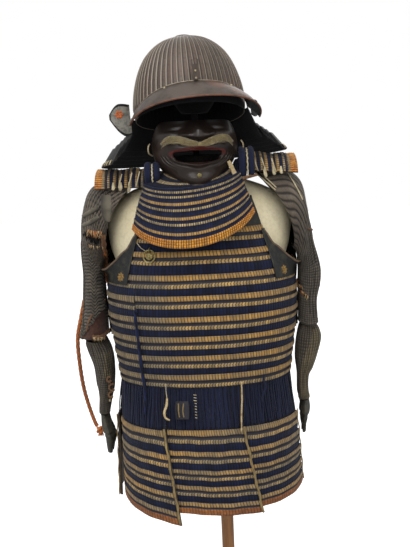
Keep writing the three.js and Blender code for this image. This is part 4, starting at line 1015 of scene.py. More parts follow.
def upperRibs(side, zone, level, degrees, points):
    z = points[..., 2]
    mirror = sleeveTables[side]["mirror"]
    if side == "right":
        shoulder = degrees / 11.25 + level * 1.7 + 0.3 * zigzag(level * 4)
        front = z / 7.6 + 1.0 * zigzag(degrees / 60 + 0.2) - 0.25 * np.sin(degrees * 0.2)
        outer = degrees / 11.25
    else:
        shoulder = degrees / 11.25 + 0.12 * np.sin(level * 3)
        front = degrees / 10.0 + 0.3 * np.sin(level * 2.2)
        outer = degrees / 11.25 + 0.3 * np.sin(level * 3.0)
    across = np.select([zone == shoulderZone, zone == frontZone], [shoulder, front], outer)
    along = np.where((zone == frontZone) & (side == "right"), degrees / 5.0, level * 52 / (6.5 if side == "right" else 5.0))
    return np.stack([across, along], axis=-1)


def upperOut(side, zone, level, degrees, lay):
    rib = np.where(zone < gussetZone, 1.7 * (0.5 - 0.5 * np.cos(2 * math.pi * lay[..., 0])) ** 0.7, 0.0)
    soft = 1.2 * np.sin(level * 2.3 + degrees * 0.02) * np.sin(degrees * 0.045 + 1.3 * level)
    sunk = np.where(zone == tearZone, -5.0, np.where(zone == gussetZone, -3.0, 0.0))
    hem = 1.4 * np.exp(-(((level - 7.93) / 0.05) ** 2))
    return rib + soft + sunk + hem + creased(level, degrees, sleeveFolds[side]) - 1.0


for side in ("right", "left"):
    def surface(column, row, side=side):
        degrees = column / upperGrid["around"] * 360 - 180
        level = row / upperGrid["down"] * upperGrid["levels"]
        bare = sleevePoint(side, "upper", level, degrees, 0.0)
        zone = upperZone(side, level, degrees, bare)
        lay = upperRibs(side, zone, level, degrees, bare)
        return level, degrees, bare, zone, lay

    def placeAt(column, row, side=side, surface=surface):
        level, degrees, bare, zone, lay = surface(column, row)
        out = upperOut(side, zone, level, degrees, lay)
        points = sleevePoint(side, "upper", level, degrees, out)
        return points

    def layAt(column, row, surface=surface):
        return surface(column, row)[4]

    def zoneAt(column, row, surface=surface):
        return surface(column + 0.5, row + 0.5)[3]

    sleeve = linkPiece(
        gridMesh(f"mail_cloth_upper_sleeve_{side}", upperGrid["around"], upperGrid["down"], placeAt, sleeveMaterials,
                 layAt, bandAt=zoneAt),
        "mail_cloth", f"upper_sleeve_{side}")
    shell = sleeve.modifiers.new("clothThickness", "SOLIDIFY")
    shell.thickness = 0.0016
    shell.offset = -1

forearmGrid = {"around": 96, "down": 120}
forearmFolds = {
    "right": [(0.3, -60, 2.4, -80, -3, 8), (0.2, -130, 2.0, -110, 3, 9), (1.0, -30, 4.6, -40, -2.5, 7), (2.2, -110, 4.8, -95, -2.5, 6),
              (0.4, -10, 3.0, -14, 2, 8), (1.0, 60, 4.0, 80, -4, 12)],
    "left": [(0.2, -70, 3.6, -104, -4.5, 7), (0.4, -40, 2.6, -30, 4, 14), (2.6, -60, 4.8, -60, -2.5, 6), (1.8, -120, 4.6, -120, 2, 8),
             (1.0, 60, 4.0, 80, -4, 12), (3.0, -20, 4.8, -30, -2.5, 7)],
}
for side in ("right", "left"):
    def forearmZone(level, degrees, side=side):
        if side == "right":
            patch = (np.abs(level - 1.7) < 0.75) & (np.abs(degrees + 128 - (level - 1.7) * 22) < 26)
            return np.where(patch, 1, 0)
        edge = -72 - 18 * level + 6 * np.sin(level * 2)
        return np.where((degrees > edge) & (degrees < 20) & (level > 0.35), 1, 0)

    def placeAt(column, row, side=side, zoneOf=forearmZone):
        degrees = column / forearmGrid["around"] * 360 - 180
        level = row / forearmGrid["down"] * 5
        rib = 1.3 * (0.5 - 0.5 * np.cos(2 * math.pi * degrees / 12)) ** 0.7
        out = rib + creased(level, degrees, forearmFolds[side]) + 0.8 * np.sin(level * 3 + degrees * 0.05)
        out = out + np.where(zoneOf(level, degrees) == 1, 1.0, 0.0) - 1.2
        return sleevePoint(side, "forearm", level, degrees, out)

    def layAt(column, row):
        return np.stack([(column / forearmGrid["around"] * 360 - 180) / 12, row / forearmGrid["down"] * 34], axis=-1)

    def zoneAt(column, row, zoneOf=forearmZone):
        return zoneOf((row + 0.5) / forearmGrid["down"] * 5, (column + 0.5) / forearmGrid["around"] * 360 - 180)

    forearm = linkPiece(
        gridMesh(f"mail_cloth_forearm_{side}", forearmGrid["around"], forearmGrid["down"], placeAt, [mailOuter, mailPale],
                 layAt, bandAt=zoneAt),
        "mail_cloth", f"forearm_sleeve_{side}")
    shell = forearm.modifiers.new("clothThickness", "SOLIDIFY")
    shell.thickness = 0.0016
    shell.offset = -1

    def handPoint(column, row, side=side):
        degrees = column / 64 * 360 - 180
        level = row / 60 * 3
        ridge = 1.2 * np.exp(-(((level - 0.12) / 0.09) ** 2)) + 1.5 * np.exp(-(((degrees + 90 + 12 * level) / 9) ** 2))
        out = ridge + 1.2 * np.sin(level * 3.1 + degrees * 0.06) - 2.0 * np.exp(-(((level - 1.5) / 0.16) ** 2)) - 1.0
        return sleevePoint(side, "hand", level, degrees, out)

    guardPiece = linkPiece(gridMesh(f"leather_hand_guard_{side}", 64, 60, handPoint, [greyLeather]), "leather",
                           f"hand_guard_{side}")
    shell = guardPiece.modifiers.new("leatherThickness", "SOLIDIFY")
    shell.thickness = 0.0022
    shell.offset = -1


print("stage: helmet")


def tilted(shift, height, tip, roll, turn):
    return (
        Matrix.Translation(((figureShift + shift) * mm, 0, height * mm))
        @ Matrix.Rotation(math.radians(roll), 4, "Y")
        @ Matrix.Rotation(math.radians(turn), 4, "Z")
        @ Matrix.Rotation(math.radians(tip), 4, "X")
    )


def putBy(matrix, points):
    grid = np.array(matrix)
    return points @ grid[:3, :3].T + grid[:3, 3] / mm


helmetPlace = tilted(-11, 1530, -12, -1.5, 8)
guardPlace = tilted(-11, 1530, -4, -3, 6)
maskPlace = tilted(-9, 0, 0, 0, 6.5)

ribbedIron, tree, shader = material("ribbedIron", 0.5, 0.35, coat=0.12)
row = effect(tree, grains, Gap=0.08)
ridge = remap(tree, row["Across"], 0.02, 0.07, 0.0, 1.0)
ridge = maths(tree, "MULTIPLY", ridge, remap(tree, row["Across"], 0.2, 0.3, 1.0, 0.0))
rust = effect(tree, patches, Scale=11.0, Detail=4.0, Low=0.42, High=0.7)["Mask"]
spots = effect(tree, patches, Scale=150.0, Detail=4.0, Low=0.45, High=0.66)["Mask"]
color = mixed(tree, row["Random"], rgb("544940"), rgb("685d52"))
color = mixed(tree, maths(tree, "MULTIPLY", rust, 0.4), color, rgb("66473a"))
color = mixed(tree, maths(tree, "MULTIPLY", spots, 0.35), color, rgb("352b25"))
# painted highlight: the raised rib of each plate is mixed towards a pale grey-brown
color = mixed(tree, ridge, color, rgb("8f8376"))
edge = maths(tree, "MULTIPLY", remap(tree, row["Across"], 0.24, 0.34, 0.0, 1.0), remap(tree, row["Across"], 0.34, 0.6, 1.0, 0.0))
color = mixed(tree, maths(tree, "MULTIPLY", edge, 0.95), color, rgb("1d1714"))
color = mixed(tree, toneOf(tree), color, rgb("5a4436"))
pitted = effect(tree, patches, Scale=700.0, Detail=3.0, Low=0.3, High=0.7)["Mask"]
paint(tree, shader, color, pitted, 0.3, 0.0005, remap(tree, pitted, 0.0, 1.0, 0.42, 0.62))
plainIron = speckled("plainIron", "564a42", "3c322b", 0.45, 40.0, 0.7, metallic=0.35, coat=0.12, second="6b4532", bump=0.35)
lipIron = speckled("lipIron", "9d8f7c", "6c5d4f", 0.42, 120.0, 0.6, metallic=0.4)
rimRust = speckled("rimRust", "7c5039", "5a3828", 0.6, 110.0, 0.6, metallic=0.1, second="33211a", bump=0.4)
# near black: the real lining of the neck lames and the inside of the bowl, and painted shade on the bowl under the brim
liningAndShadeBlack = speckled("liningAndShadeBlack", "0a0b11", "11121a", 0.97)
rivetBright = speckled("rivetBright", "b8a888", "7d6f58", 0.35, 300.0, 0.4, metallic=0.7)

bowl = {"ribs": 62, "perRib": 8, "rows": 44, "wall": 3.4, "depthShare": 1.1}
bowlCurve = smoothPath([(124, -22), (126, 0), (121, 42), (109, 82), (91, 115), (62, 141), (26, 154)], bowl["rows"] + 1)
ribStops = np.array([0, 0.05, 0.12, 0.19, 0.27, 0.5, 0.75, 0.95])
ribHeights = np.array([0, 1.5, 1.6, 1.2, 0.1, 0, 0, 0])


def bowlPoint(column, row):
    rib, step = column // bowl["perRib"], column % bowl["perRib"]
    degrees = (rib + ribStops[step] - 0.12) * 360 / bowl["ribs"]
    radius, z = bowlCurve[row, 0], bowlCurve[row, 1]
    high = np.clip((z + 2) / 5, 0, 1) * np.clip((156 - z) / 8, 0, 1)
    narrow = np.clip(radius / 60, 0.35, 1)
    radius = radius - 1.7 + ribHeights[step] * high * narrow
    x = radius * np.sin(np.radians(degrees))
    y = -radius * bowl["depthShare"] * np.cos(np.radians(degrees))
    return putBy(helmetPlace, np.stack([x, y, z], axis=-1))


def bowlLay(column, row):
    rib, step = column // bowl["perRib"], column % bowl["perRib"]
    return np.stack([rib + ribStops[step], row / 11], axis=-1)


def bowlTone(column, row, points):
    z = bowlCurve[row, 1]
    return np.where(z < 1, 0.8, 0.0) + 0.0 * column


# painted shade: faces of the bowl under the front of the brim take the near-black lining material in place of the
# brim's shadow
def underBrim(column, row):
    degrees = (column / bowl["perRib"] * 360 / bowl["ribs"] + 180) % 360 - 180
    return np.where((np.abs(degrees) < 76) & (bowlCurve[row, 1] < 14 - np.abs(degrees) * 0.35), 2, 0)


bowlPiece = linkPiece(
    gridMesh("ribbed_helmet_bowl", bowl["ribs"] * bowl["perRib"], bowl["rows"], bowlPoint,
             [ribbedIron, liningAndShadeBlack, liningAndShadeBlack], bowlLay, bowlTone, underBrim),
    "iron", "helmet_bowl", smooth=50)
shell = bowlPiece.modifiers.new("ironThickness", "SOLIDIFY")
shell.thickness = 0.0026
shell.offset = -1
shell.material_offset = 1

turnedPiece("riveted_crown_ring", [(8, 154.5), (24.4, 154.5), (25, 155.2), (24, 157), (21, 158.6), (19, 160.4), (16, 161.4), (12, 161.5),
            (9, 161), (8, 160), (8, 154.5)], plainIron, "iron", "crown_ring", steps=56, put=helmetPlace)

brimRows = [(0, 20, 44, -24), (25, 17, 42, -25), (45, 8, 36, -29), (62, -5, 28, -36), (76, -15, 20, -42)]


def brimPoint(degrees, level, out):
    innerZ, reach, outerZ = (smoothTable(np.abs(degrees), brimRows, k) for k in (1, 2, 3))
    reach = reach * (1 + 0.3 * np.sin(np.radians(degrees)))
    radius = 127.2 + reach * (level + 0.2 * level * (1 - level)) + out * 0.6
    z = innerZ + (outerZ - innerZ) * (level - 0.32 * level * (1 - level)) + out * 0.8
    x = radius * np.sin(np.radians(degrees))
    y = -(radius + 12.72) * np.cos(np.radians(degrees))
    return putBy(helmetPlace, np.stack([x, y, z], axis=-1))


brimProfile = np.array([(0.0, 0.2), (0.0, 2.0), (0.03, 2.4), (0.2, 2.4), (0.4, 2.5), (0.6, 2.5), (0.8, 2.4), (0.97, 2.4), (1.0, 1.9),
                        (1.0, 0.2), (0.97, 0.0), (0.8, 0.0), (0.5, 0.0), (0.2, 0.0)])


def brimPlace(column, row):
    level = brimProfile[row % len(brimProfile)]
    return brimPoint(column / 110 * 152 - 76, level[:, 0], level[:, 1])


linkPiece(gridMesh("forged_brim", 110, len(brimProfile), brimPlace, [plainIron, blackLacquer],
                   bandAt=lambda column, row: np.where(row >= 9, 1, 0), caps=True), "iron", "brim", smooth=50)
brimDegrees = np.linspace(-76, 76, 90)
tubePiece("rolled_brim_rim", [{"points": brimPoint(brimDegrees, 0.985, 1.4), "width": 3.8, "thickness": 3.8, "sides": 10,
                               "outward": (0, -0.6, -0.8)}], [rimRust], "iron")
tubePiece("brim_lip", [{"points": brimPoint(brimDegrees[2:-2], 0.035, 3.0), "width": 2.4, "thickness": 2.0, "sides": 8,
                        "outward": (0, -0.6, 0.8)}], [lipIron], "iron")


# small domed rivets at points in millimetres, facing "out"
def rivetPiece(name, spots, radius, used, slotName, body="armour", flat=0.55):
    bm = bmesh.new()
    for spot, out in spots:
        made = bmesh.ops.create_uvsphere(bm, u_segments=14, v_segments=8, radius=radius * mm)["verts"]
        bmesh.ops.scale(bm, vec=(1, 1, flat), verts=made)
        turn = Vector(out).to_track_quat("Z", "Y").to_matrix().to_4x4()
        bmesh.ops.transform(bm, matrix=Matrix.Translation(Vector(spot) * mm) @ turn, verts=made)
    return linkPiece(meshFrom(bm, name, [used]), slotName, body=body)


def brimRivet(degrees, level):
    spot = brimPoint(np.array([degrees]), np.array([level]), np.array([2.6]))[0]
    beyond = brimPoint(np.array([degrees]), np.array([level]), np.array([5.0]))[0]
    return spot, beyond - spot


rivetPiece("brim_rivets", [brimRivet(degrees, 0.16) for degrees in (-29, 34)], 3.0, rivetBright, "brass")
rivetPiece("small_brim_rivets", [brimRivet(degrees, 0.14) for degrees in (-64, -47, 50, 66)], 1.8, plainIron, "iron")
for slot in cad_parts["crest_holder"].material_slots:
    slot.material = plainIron
rivetPiece("crest_holder_rivets", [(putBy(helmetPlace, np.array([0.0, -149.0 + 0.105 * z, 42 + z - 4])),
                                    (0, -1, 0.1)) for z in (-14.0, 2.0)], 2.4, rivetBright, "brass")

print("stage: neck guard and flaps")
guardLames = [(129, -12, 154, -80, 81), (148, -52, 176, -90, 64), (158, -60, 186, -98, 64), (168, -68, 196, -106, 64),
              (178, -76, 206, -114, 64)]


def guardPoint(lame, degrees, share, out):
    topRadius, topZ, footRadius, footZ, opening = lame
    radius = topRadius + (footRadius - topRadius) * share + out
    x, y = oval(degrees, radius, radius * 1.06, 0.0, 2.0)
    return putBy(guardPlace, np.stack([x, y + 9, topZ + (footZ - topZ) * share + 0 * x], axis=-1))


lameProfile = np.array([(0.0, 0.2), (0.0, 2.2), (0.1, 2.4), (0.5, 2.5), (0.84, 2.5), (0.9, 3.0), (0.95, 3.4), (0.99, 3.2), (1.0, 2.4),
                        (1.0, 0.3), (0.95, 0.0), (0.5, 0.0), (0.1, 0.0)])
for number, lame in enumerate(guardLames):
    def placeAt(column, row, lame=lame):
        level = lameProfile[row % len(lameProfile)]
        degrees = lame[4] + column / 120 * (360 - 2 * lame[4])
        wave = 0.35 * np.sin(degrees * 0.5 + lame[0])
        return guardPoint(lame, degrees, level[:, 0], level[:, 1] + wave * (level[:, 1] > 1))

    linkPiece(gridMesh(f"lacquered_neck_lame_{number + 1}", 120, len(lameProfile), placeAt, [blackLacquer, liningAndShadeBlack],
                       bandAt=lambda column, row: np.where(row >= 8, 1, 0), caps=True),
              "black_lacquer", f"neck_guard_lame_{number + 1}", smooth=50)

guardChance = np.random.default_rng(5)
navyKnots, paleKnots, goldKnots = [], [], []
for number, lame in enumerate(guardLames[1:], start=1):
    for step in range(37):
        degrees = 66 + step * 6.33
        away = min(abs(degrees - 66), abs(degrees - 294))
        share = np.linspace(0.74, 0.965, 5)
        lean = (guardChance.random() - 0.5) * 1.2
        path = guardPoint(lame, degrees + lean * np.linspace(-1, 1, 5), share, np.array([2.4, 3.8, 4.4, 4.2, 3.6]))
        knot = {"points": path, "width": [2.4, 4.2, 4.6, 4.0, 2.6], "thickness": 1.9, "sides": 6,
                "outward": unit(path - putBy(guardPlace, np.array([0.0, 9.0, 0.0]))), "lay": number + 0.5}
        bright = away < 34 and guardChance.random() < 0.75
        (goldKnots if bright and guardChance.random() < 0.5 else paleKnots if bright else navyKnots).append(knot)
tubePiece("neck_guard_navy_knots", navyKnots, [navyCord], "lacing")
tubePiece("neck_guard_pale_knots", paleKnots, [creamThread], "lacing")
tubePiece("neck_guard_gold_knots", goldKnots, [thinBraid], "lacing")
sideCords = []
for sign in (-1, 1):
    for offset, length in ((2.5, 0.98), (7.0, 0.93), (12.0, 0.9)):
        rows = [guardPoint(lame, np.array([sign * (64 + offset)]) % 360, np.array([share]), np.array([4.4]))[0]
                for lame in guardLames[1:] for share in (0.72, 0.95)]
        path = smoothPath(rows, 26)
        sideCords.append({"points": path, "width": 2.6, "thickness": 1.9, "sides": 6,
                          "outward": unit(path - putBy(guardPlace, np.array([0.0, 9.0, 0.0])))})
tubePiece("neck_guard_side_cords", sideCords, [creamThread], "lacing")

printedLeather = speckled("printedLeather", "8d8a80", "64625b", 0.7, 130.0, 0.8, second="4a4a4a", bump=0.3)
motifOrange = speckled("motifOrange", "c8662c", "9a4a20", 0.75, 200.0, 0.5)
flapTables = {
    "right": {"path": [(-134, -17), (-146, -24), (-158, -27), (-168, -27), (-178, -24)], "middles": [-17, -17, -13, -10, -8],
              "halfHeights": [32, 34, 30, 20, 5], "flower": (0.52, 0.30)},
    "left": {"path": [(136, -17), (143, -8), (150, 4), (156, 18), (160, 32)], "middles": [-14, -15, -14, -12, -10],
             "halfHeights": [14, 17, 17, 13, 5], "flower": (0.5, 0.2)},
}
for side, flap in flapTables.items():
    spine = smoothPath([(x, y, z, half) for (x, y), z, half in zip(flap["path"], flap["middles"], flap["halfHeights"])], 41)
    heading = unit(np.gradient(spine[:, :2], axis=0))
    normals = np.stack([heading[:, 1], -heading[:, 0], 0 * heading[:, 0]], axis=-1)

    def flapPoint(column, up, out, spine=spine, normals=normals):
        points = np.stack([spine[column, 0], spine[column, 1], spine[column, 2] + spine[column, 3] * up], axis=-1)
        return putBy(guardPlace, points + normals[column] * out[:, None])

    flapProfile = np.array([(u, 1.2) for u in np.linspace(-1, 1, 17)] + [(u, -1.2) for u in np.linspace(1, -1, 17)])

    def placeAt(column, row, flapPoint=flapPoint):
        level = flapProfile[row % len(flapProfile)]
        return flapPoint(column, level[:, 0], level[:, 1])

    # the left flap is black lacquer on both faces; on its face towards the front this is painted shade
    linkPiece(gridMesh(f"printed_leather_flap_{side}", 40, len(flapProfile), placeAt, [printedLeather if side == "right" else blackLacquer, blackLacquer],
                       bandAt=lambda column, row: np.where((row % 17 < 1) | (row % 17 > 14) | (column > 37), 1, 0), caps=True),
              "leather", f"turned_flap_{side}", smooth=50)
    columns = np.concatenate([np.arange(0, 41), np.arange(40, -1, -1)])
    ups = np.concatenate([np.full(41, 1.0), np.full(41, -1.0)])
    outline = flapPoint(columns, ups, np.zeros(82))
    tubePiece(f"flap_rim_{side}", [{"points": outline, "width": 3.4, "thickness": 3.4, "sides": 8, "outward": (0.3, -1, 0)}],
              [blackLacquer], "black_lacquer")
    if side == "left":
        continue
    bm = bmesh.new()
    at, high = flap["flower"]
    centreColumn = int(at * 40)
    front = -1 if side == "right" else 1
    facing = Vector(np.array(guardPlace)[:3, :3] @ (normals[centreColumn] * front))
    spinePoint = lambda du, dv: putBy(guardPlace, np.array([
        spine[centreColumn, 0] + heading[centreColumn, 0] * du, spine[centreColumn, 1] + heading[centreColumn, 1] * du,
        spine[centreColumn, 2] + spine[centreColumn, 3] * high + dv]) + normals[centreColumn] * 1.3 * front)
    petals = [(0.0, 0.0, 2.6)] + [(6.2 * math.cos(k * math.pi / 3), 6.2 * math.sin(k * math.pi / 3), 3.3) for k in range(6)]
    for du, dv, size in petals:
        made = bmesh.ops.create_uvsphere(bm, u_segments=12, v_segments=6, radius=size * mm)["verts"]
        bmesh.ops.scale(bm, vec=(1, 1, 0.22), verts=made)
        turn = facing.to_track_quat("Z", "Y").to_matrix().to_4x4()
        bmesh.ops.transform(bm, matrix=Matrix.Translation(Vector(spinePoint(du, dv)) * mm) @ turn, verts=made)
    linkPiece(meshFrom(bm, f"flap_blossom_{side}", [motifOrange]), "orange_cord")

print("stage: mask")
maskLacquer, tree, shader = material("maskLacquer", 0.34, 0.1, coat=0.2)
soft = effect(tree, patches, Scale=26.0, Detail=4.0, Low=0.4, High=0.72)["Mask"]
fine = effect(tree, patches, Scale=520.0, Detail=3.0, Low=0.3, High=0.7)["Mask"]
color = mixed(tree, soft, rgb("2b211c"), rgb("3b2e27"))
color = mixed(tree, maths(tree, "MULTIPLY", fine, 0.25), color, rgb("1d1512"))
color = mixed(tree, toneOf(tree), color, rgb("5e1a10"))
high = place(tree, "ShaderNodeSeparateXYZ", {0: place(tree, "ShaderNodeTexCoord").outputs["Object"]}).outputs["Z"]
# painted shadow: the mask darkens towards near black from 1.468 m up to 1.5 m, where the brim's shadow falls
color = mixed(tree, remap(tree, high, 1.468, 1.5, 0.0, 0.85), color, rgb("0d0a09"))
paint(tree, shader, color, fine, 0.15, 0.0003, remap(tree, fine, 0.0, 1.0, 0.28, 0.44))
maskInside = speckled("maskInside", "3a1c14", "4d281a", 0.45, 60.0, 0.6, coat=0.2)
maskRows = [
    (1361, 44, 76), (1374, 57, 80), (1388, 70, 82), (1400, 80, 83), (1411, 87, 83), (1424, 93, 83), (1437, 96, 84),
    (1450, 97, 84), (1462, 95, 82), (1474, 92, 78), (1486, 88, 74), (1500, 83, 70),
]


def swell(distance, width):
    return np.exp(-((distance / width) ** 2))


def maskRelief(x, z):
    foot = 1 / (1 + np.exp(-(z - 1460.5) / 1.5))
    nose = 37 * foot * swell(x, np.interp(z, [1460, 1472, 1484, 1500], [23, 22, 17, 12])) * swell(np.maximum(0, z - 1478), 22)
    wings = 17 * swell(np.abs(x) - 24, 10) * swell(z - 1470, 9) * foot
    nostrils = -6 * swell(np.abs(x) - 12, 4.5) * swell(z - 1461, 3)
    cheeks = 7 * swell(np.abs(x) - 60, 22) * swell(z - 1470, 18)
    upperLip = 6 * swell(x, 56) * swell(z - 1443, 9)
    lowerLip = 5 * swell(x, 52) * swell(z - 1405, 8)
    chin = 6 * swell(x, 40) * swell(z - 1376, 11) + 2.6 * swell(z - 1362, 2.4)
    underEye = 0.6 * swell(np.abs(x) - 40, 20) * swell(z - 1488, 4) - 1.4 * swell(np.abs(x) - 42, 24) * swell(z - 1480, 3.5)
    fold = 3.0 * swell(np.abs(x) - 30 - (1478 - z) * 0.55, 4.0) * np.clip((1484 - z) / 8, 0, 1) * np.clip((z - 1448) / 8, 0, 1)
    return nose + wings + nostrils + cheeks + upperLip + lowerLip + chin + underEye + fold


face = {"around": 264, "rings": 92, "centre": 1424.0, "mouth": (34.0, 12.5, 3.2), "outline": (76.5, 69.5, 7.0), "middle": 1430.5}


def reach(turn, half, high, power):
    return 1 / ((np.abs(np.cos(turn)) / half) ** power + (np.abs(np.sin(turn)) / high) ** power) ** (1 / power)


def maskCoordinates(column, row):
    turn = column / face["around"] * 2 * math.pi
    lower = np.sin(turn) < 0
    mouth = reach(turn, face["mouth"][0] * np.where(lower, 0.94, 1.0), face["mouth"][1], np.where(lower, 2.6, 4.5))
    shift = face["middle"] - face["centre"]
    high = np.where(np.sin(turn) > 0, face["outline"][1] + shift, face["outline"][1] - shift)
    edge = reach(turn, face["outline"][0], high, face["outline"][2])
    share = (row / face["rings"]) ** 1.25
    distance = mouth + (edge - mouth) * share
    degrees, z = distance * np.cos(turn), face["centre"] + distance * np.sin(turn)
    past = (distance - mouth) * np.hypot(np.cos(turn) * 1.5, np.sin(turn))
    return turn, degrees, z, past


def maskPoint(column, row):
    turn, degrees, z, past = maskCoordinates(column, row)
    sideways = np.abs(np.cos(turn)) ** 12 * np.clip(0.65 - np.sin(turn) * 3, 0, 1)
    width, depth = smoothTable(z, maskRows, 1), smoothTable(z, maskRows, 2)
    x = width * np.sin(np.radians(degrees))
    lowerLip = np.clip(0.3 - np.sin(turn) * 1.4, 0, 1) * (5.0 * swell(past - 5.5, 2.8) - 2.6 * swell(past - 12.5, 2.6))
    upperLip = np.clip(np.sin(turn) * 1.6, 0, 1) * (2.6 * swell(past - 2.5, 2.2) - 1.0 * swell(past - 7, 2.0))
    ripples = 1.5 * np.cos(2 * math.pi * (past - 9) / 9.5) * sideways * np.clip((past - 4) / 5, 0, 1) * np.clip((44 - past) / 10, 0, 1)
    rolled = -2.0 * swell(past, 1.6)
    out = maskRelief(x, z) + lowerLip + upperLip + ripples + rolled
    return putBy(maskPlace, np.stack([x, -40 - depth * np.cos(np.radians(degrees)) - out, z], axis=-1))


def maskTone(column, row, points):
    turn, degrees, z, past = maskCoordinates(column, row)
    upper = np.clip(np.sin(turn) * 3 + 0.2, 0, 1) * np.clip((12.0 - past) / 3.5, 0, 1)
    lower = np.clip(-np.sin(turn) * 3, 0, 1) * np.clip((3.0 - past) / 2, 0, 1) * 0.15
    return upper + lower


maskPiece = linkPiece(
    gridMesh("lacquered_half_mask", face["around"], face["rings"], maskPoint, [maskLacquer, maskInside], toneAt=maskTone),
    "mask_lacquer", "face_mask")
shell = maskPiece.modifiers.new("maskThickness", "SOLIDIFY")
shell.thickness = 0.003
shell.offset = -1
shell.material_offset = 1
drainSpot = putBy(maskPlace, np.array([0.0, -127.5, 1384.0]))
rivetPiece("mask_drain_stud", [(drainSpot, (0.1, -1, -0.25))], 5.0, agedBrass, "brass", flat=0.35)

hairTan, tree, shader = material("hairTan", 0.75, sheen=0.3)
hairPatch = effect(tree, patches, Scale=90.0, Low=0.35, High=0.7)["Mask"]
hairRow = place(tree, "ShaderNodeUVMap", uv_map="lay").outputs["UV"]
hairChance = place(tree, "ShaderNodeTexWhiteNoise", {"Vector": hairRow}, noise_dimensions="3D").outputs["Value"]
color = mixed(tree, hairChance, rgb("9a8757"), rgb("5c5034"))
color = mixed(tree, maths(tree, "MULTIPLY", hairPatch, 0.4), color, rgb("b8a878"))
paint(tree, shader, color, hairPatch, 0.1, 0.0003)
moustachePath = [(0, -154, 1450), (18, -151, 1453), (40, -140, 1460), (62, -127, 1461), (77, -109, 1452)]
hairChoice = np.random.default_rng(12)
strands = []
for mirror in (-1, 1):
    spine = smoothPath(moustachePath, 40) * [mirror, 1, 1]
    for number in range(420):
        start = hairChoice.random() ** 1.3 * 0.62
        end = min(1.0, start + 0.2 + 0.3 * hairChoice.random())
        rows = np.linspace(start, end, 9) * 39
        path = np.stack([np.interp(rows, np.arange(40), spine[:, k]) for k in range(3)], axis=-1)
        high = (hairChoice.random() * 2 - 1) * np.interp(start, [0, 0.15, 0.6, 1], [3.6, 8.4, 8.2, 5.0])
        fall = -3.5 * hairChoice.random() * np.linspace(0, 1, 9) ** 2
        path[:, 2] += high * np.linspace(0.8, 0.95, 9) + fall
        path[:, 1] += 1.6 - 4.4 * hairChoice.random() * np.sin(np.linspace(0.5, 2.6, 9))
        strands.append({"points": putBy(maskPlace, path), "width": [0.7, 1.25, 1.2, 1.0, 0.35], "sides": 3,
                        "lay": number * 0.37 + 0.5})
bm = bmesh.new()
for strand in strands:
    addTube(bm, **strand)
core = [(x, y + 1.2, z) for x, y, z in [(-x, y, z) for x, y, z in moustachePath[:0:-1]] + moustachePath]
addTube(bm, putBy(maskPlace, smoothPath(core, 40)), [5, 13, 15, 8, 15, 13, 5], [2, 4.5, 5, 4, 5, 4.5, 2], sides=10)
closeTubes(bm)
linkPiece(meshFrom(bm, "horsehair_moustache", [hairTan]), "hair", "moustache")

for side, mirror in (("right", -1), ("left", 1)):
    path = smoothPath([(mirror * x, y, z) for x, y, z in ((94, -74, 1428), (102, -82, 1434), (103, -82, 1446), (99, -78, 1454))], 22)
    tubePiece(f"brass_cheek_hook_{side}", [{"points": putBy(maskPlace, path), "width": 3.4, "sides": 10}], [rivetBright], "brass",
              f"cheek_hook_{side}")

